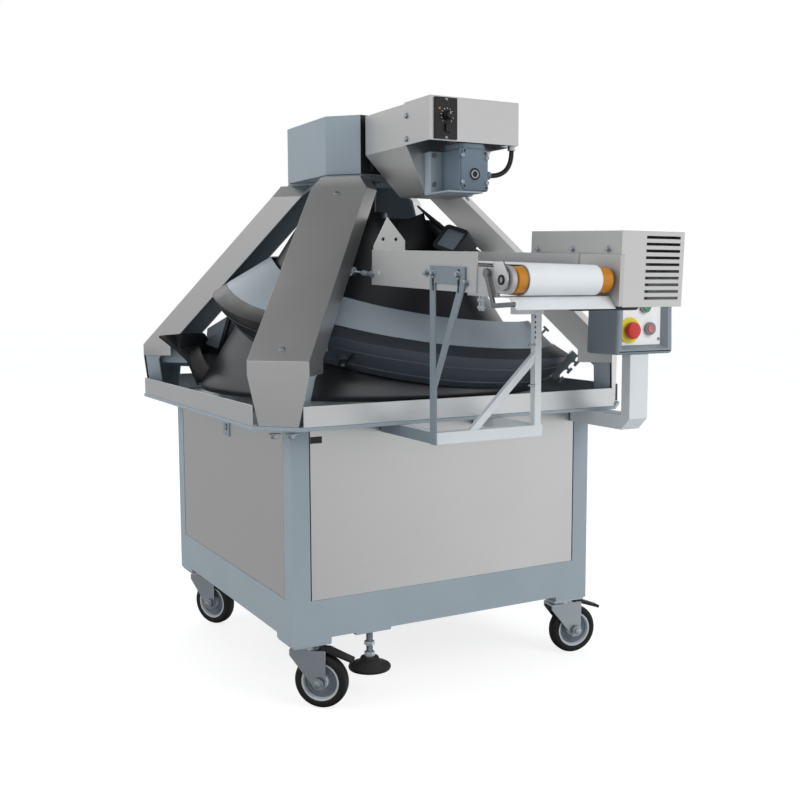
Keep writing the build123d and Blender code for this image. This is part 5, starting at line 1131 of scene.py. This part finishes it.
def makeConveyorFittings():
    bm = bmesh.new()
    for x, spots, size in fittings["bolts"]:
        for y, z in spots:
            addHexBolt(bm, (x, y, z), toLeft, *size)
    # tension screws that hang under the left side near the front
    tension = fittings["tension"]
    x = guideLeft + tension["inward"]
    for y in tension["rows"]:
        addRod(bm, (x, y, tension["foot"]), up, tension["radius"], tension["length"], 16)
        for z in tension["nuts"]:
            addHexBolt(bm, (x, y, z), up, *tension["nut"])
    # link that ties the rear of the guide, with two eyes where it starts
    link = fittings["link"]
    x = guideLeft - link["outward"]
    start, end = [Vector((x, *spot)) for spot in link["ends"]]
    run = end - start
    addRod(bm, start, run, link["radius"], run.length, 20)
    for share in link["nuts"]:
        addHexBolt(bm, start + run * share, run, *link["nut"])
    for shift in link["eyes"]:
        addRing(bm, start + Vector(shift), toLeft, *link["eye"])
    addHexBolt(bm, (guideLeft, end.y - link["boltBack"], end.z), toLeft, *link["bolt"])
    # bearing of the roller on the near side
    x, y, z = fittings["bearing"]
    sideways = Matrix(((0, 0, 1, x), (1, 0, 0, y), (0, 1, 0, z), (0, 0, 0, 1)))
    addPlate(bm, fittings["bearingPlate"], 3, 0.5, sideways, 2)
    addRing(bm, (x, y, z), toLeft, *fittings["bearingRing"], number=1)
    addDisc(bm, (x, y, z), toLeft, *fittings["bearingPin"])
    # pegs down the post, and black discs painted as the shade inside its holes
    for z in fittings["pegs"]:
        addSpun(bm, fittings["peg"], at((*fittings["post"], z), toLeft), 16)
    for z in fittings["holes"]:
        addDisc(bm, (*fittings["post"], z), toLeft, *fittings["hole"], number=1)
    # painted shade of the slots behind the bolts
    slot = fittings["slot"]
    for y, z in veeBolts:
        addSlot(bm, veeLeft, (y - slot["half"], z - slot["below"]), (y + slot["half"], z + slot["above"]))
    addSlot(bm, guideLeft, *fittings["guideSlot"])
    # bracket and motor end under the cover
    addBlock(bm, *fittings["motorEnd"], 5, plain, 1)
    finishPiece(bm, "conveyor_bolts", nodeBody["conveyor_frame"], ("zinc", "blackPlastic", "rimPale"), sharp=30)
    bm = bmesh.new()
    scraper = fittings["scraper"]
    for spot in scraper["spots"]:
        addScrew(bm, tilt @ Vector(spot), tilt.to_3x3() @ Vector(scraper["normal"]), *scraper["screw"], domeHead)
    finishPiece(bm, "scraper_screws", nodeBody["belt_scraper"], "zinc", sharp=30)


makeConveyorFittings()
print("stage: conveyor")

knob = {"spot": (-75.0, -515.0, 1324.41), "ribs": 24, "rib": ((8.0, -0.5, 6.2), (8.9, 0.5, 13.2)),
        "pointer": ((-0.6, 2.0, 14.3), (0.6, 7.6, 14.9)),
        "cap": [(0, -5), (3, -5), (3, 0.5), (9.6, 0.5), (10, 1.2), (9.8, 5), (8.6, 6), (8.2, 13.6), (7.2, 14.5),
                (0, 14.5)]}
module = {"lamp": (-94.6, -515.0, 1339.0), "lampSize": (2, 1), "screws": ((-77, -515.0, 1359.2), (-77, -515.0, 1278)),
          "screw": (3.6, 2), "ticks": 11, "sweep": 270, "tick": ((-0.5, 14.5, 0), (0.5, 16.9, 0.25))}


def makeKnob():
    place = at(knob["spot"], toFront)
    bm = bmesh.new()
    addSpun(bm, knob["cap"], place, 40)
    for i in range(knob["ribs"]):
        addBlock(bm, *knob["rib"], 0.2, place @ turned(360 * i / knob["ribs"], "Z"))
    addBlock(bm, *knob["pointer"], 0.0, place, 1)
    replaceNode(bm, "speed_knob", "_cap", ("blackPlastic", "platePaint"))
    bm = bmesh.new()
    for i in range(module["ticks"]):
        angle = module["sweep"] * (i / (module["ticks"] - 1) - 0.5)
        addBlock(bm, *module["tick"], 0.0, place @ turned(angle, "Z"))
    for spot in module["screws"]:
        addScrew(bm, spot, toFront, *module["screw"], domeHead, 1)
    addDisc(bm, module["lamp"], toFront, *module["lampSize"], number=2)
    finishPiece(bm, "speed_controller_marks", nodeBody["speed_controller"], ("platePaint", "zinc", "lampAmber"))


makeKnob()

duster = {
    "front": -506.0, "boss": -509.0, "bore": (0.0, 1203.41),
    "face": ((-25, 1168.5), (25, 1168.5), (34.5, 1180), (34.5, 1236), (22, 1256.5), (-25, 1256.5), (-34.5, 1247),
             (-34.5, 1179)),
    "bright": ((-31.5, 1244), (-31.5, 1186), (33, 1240), (33.5, 1185)),
    "holes": ((-26.6, 1254), (-26.6, 1177), (28, 1250), (30.7, 1174.5)),
    "faceThick": 2.4, "lug": 3.4, "lugRadius": 6, "edge": 0.8, "hole": (3.1, 0.3, 0.1), "pin": (6.4, 1.2, 0.2),
    "faceScrew": (4.6, 3.4), "saddleScrew": (5, 3.5),
    "rings": ((15.5, 9.8, 0.8, 0.3, 0), (14, 9.4, 1.0, 0.3, 1), (9.4, 6.4, 2.2, 0.6, 2)),
    "saddle": ((-58.6, 1249), (-58.6, 1185.5)), "saddleFront": -430.0,
    "shadeBehind": -300,
}


# painted shade: the bracket's faces nearer the head are black, painted as the shade of the gap between head and hopper
def dusterBracketShadeFaces(spot, normal):
    return 1 if spot.y > duster["shadeBehind"] else 0


def makeDuster():
    dress("duster_gearmotor", "gearGrey", 1.6)
    dress("duster_brackets", ("framePaint", "castingBlack"), 0.8, dusterBracketShadeFaces)
    front, boss, lug, edge = duster["front"], duster["boss"], duster["lug"], duster["edge"]
    bm = bmesh.new()
    # raised face of the gearbox, with a bolt lug at each corner
    addPlate(bm, duster["face"], duster["faceThick"], edge, Matrix.Translation((0, front, 0)) @ turned(90, "X"))
    for x, z in duster["holes"]:
        addDisc(bm, (x, front, z), toFront, duster["lugRadius"], lug, edge)
        # painted shade: a thin black disc on each lug stands for its hole
        addDisc(bm, (x, front - lug, z), toFront, *duster["hole"], number=1)
    for x, z in duster["bright"]:
        addScrew(bm, (x, front - 2, z), toFront, *duster["faceScrew"], socketHead, 2)
    x, z = duster["bore"]
    for ring in duster["rings"]:
        addRing(bm, (x, boss, z), toFront, *ring)
    addDisc(bm, (x, boss + 1, z), toFront, *duster["pin"], number=1)
    for x, z in duster["saddle"]:
        addScrew(bm, (x, duster["saddleFront"], z), toFront, *duster["saddleScrew"], socketHead, 3)
    coats = ("gearGrey", "blackPlastic", "zinc", "bareSteel")
    finishPiece(bm, "duster_gearbox_face", nodeBody["duster_gearmotor"], coats)


makeDuster()
print("stage: flour duster")
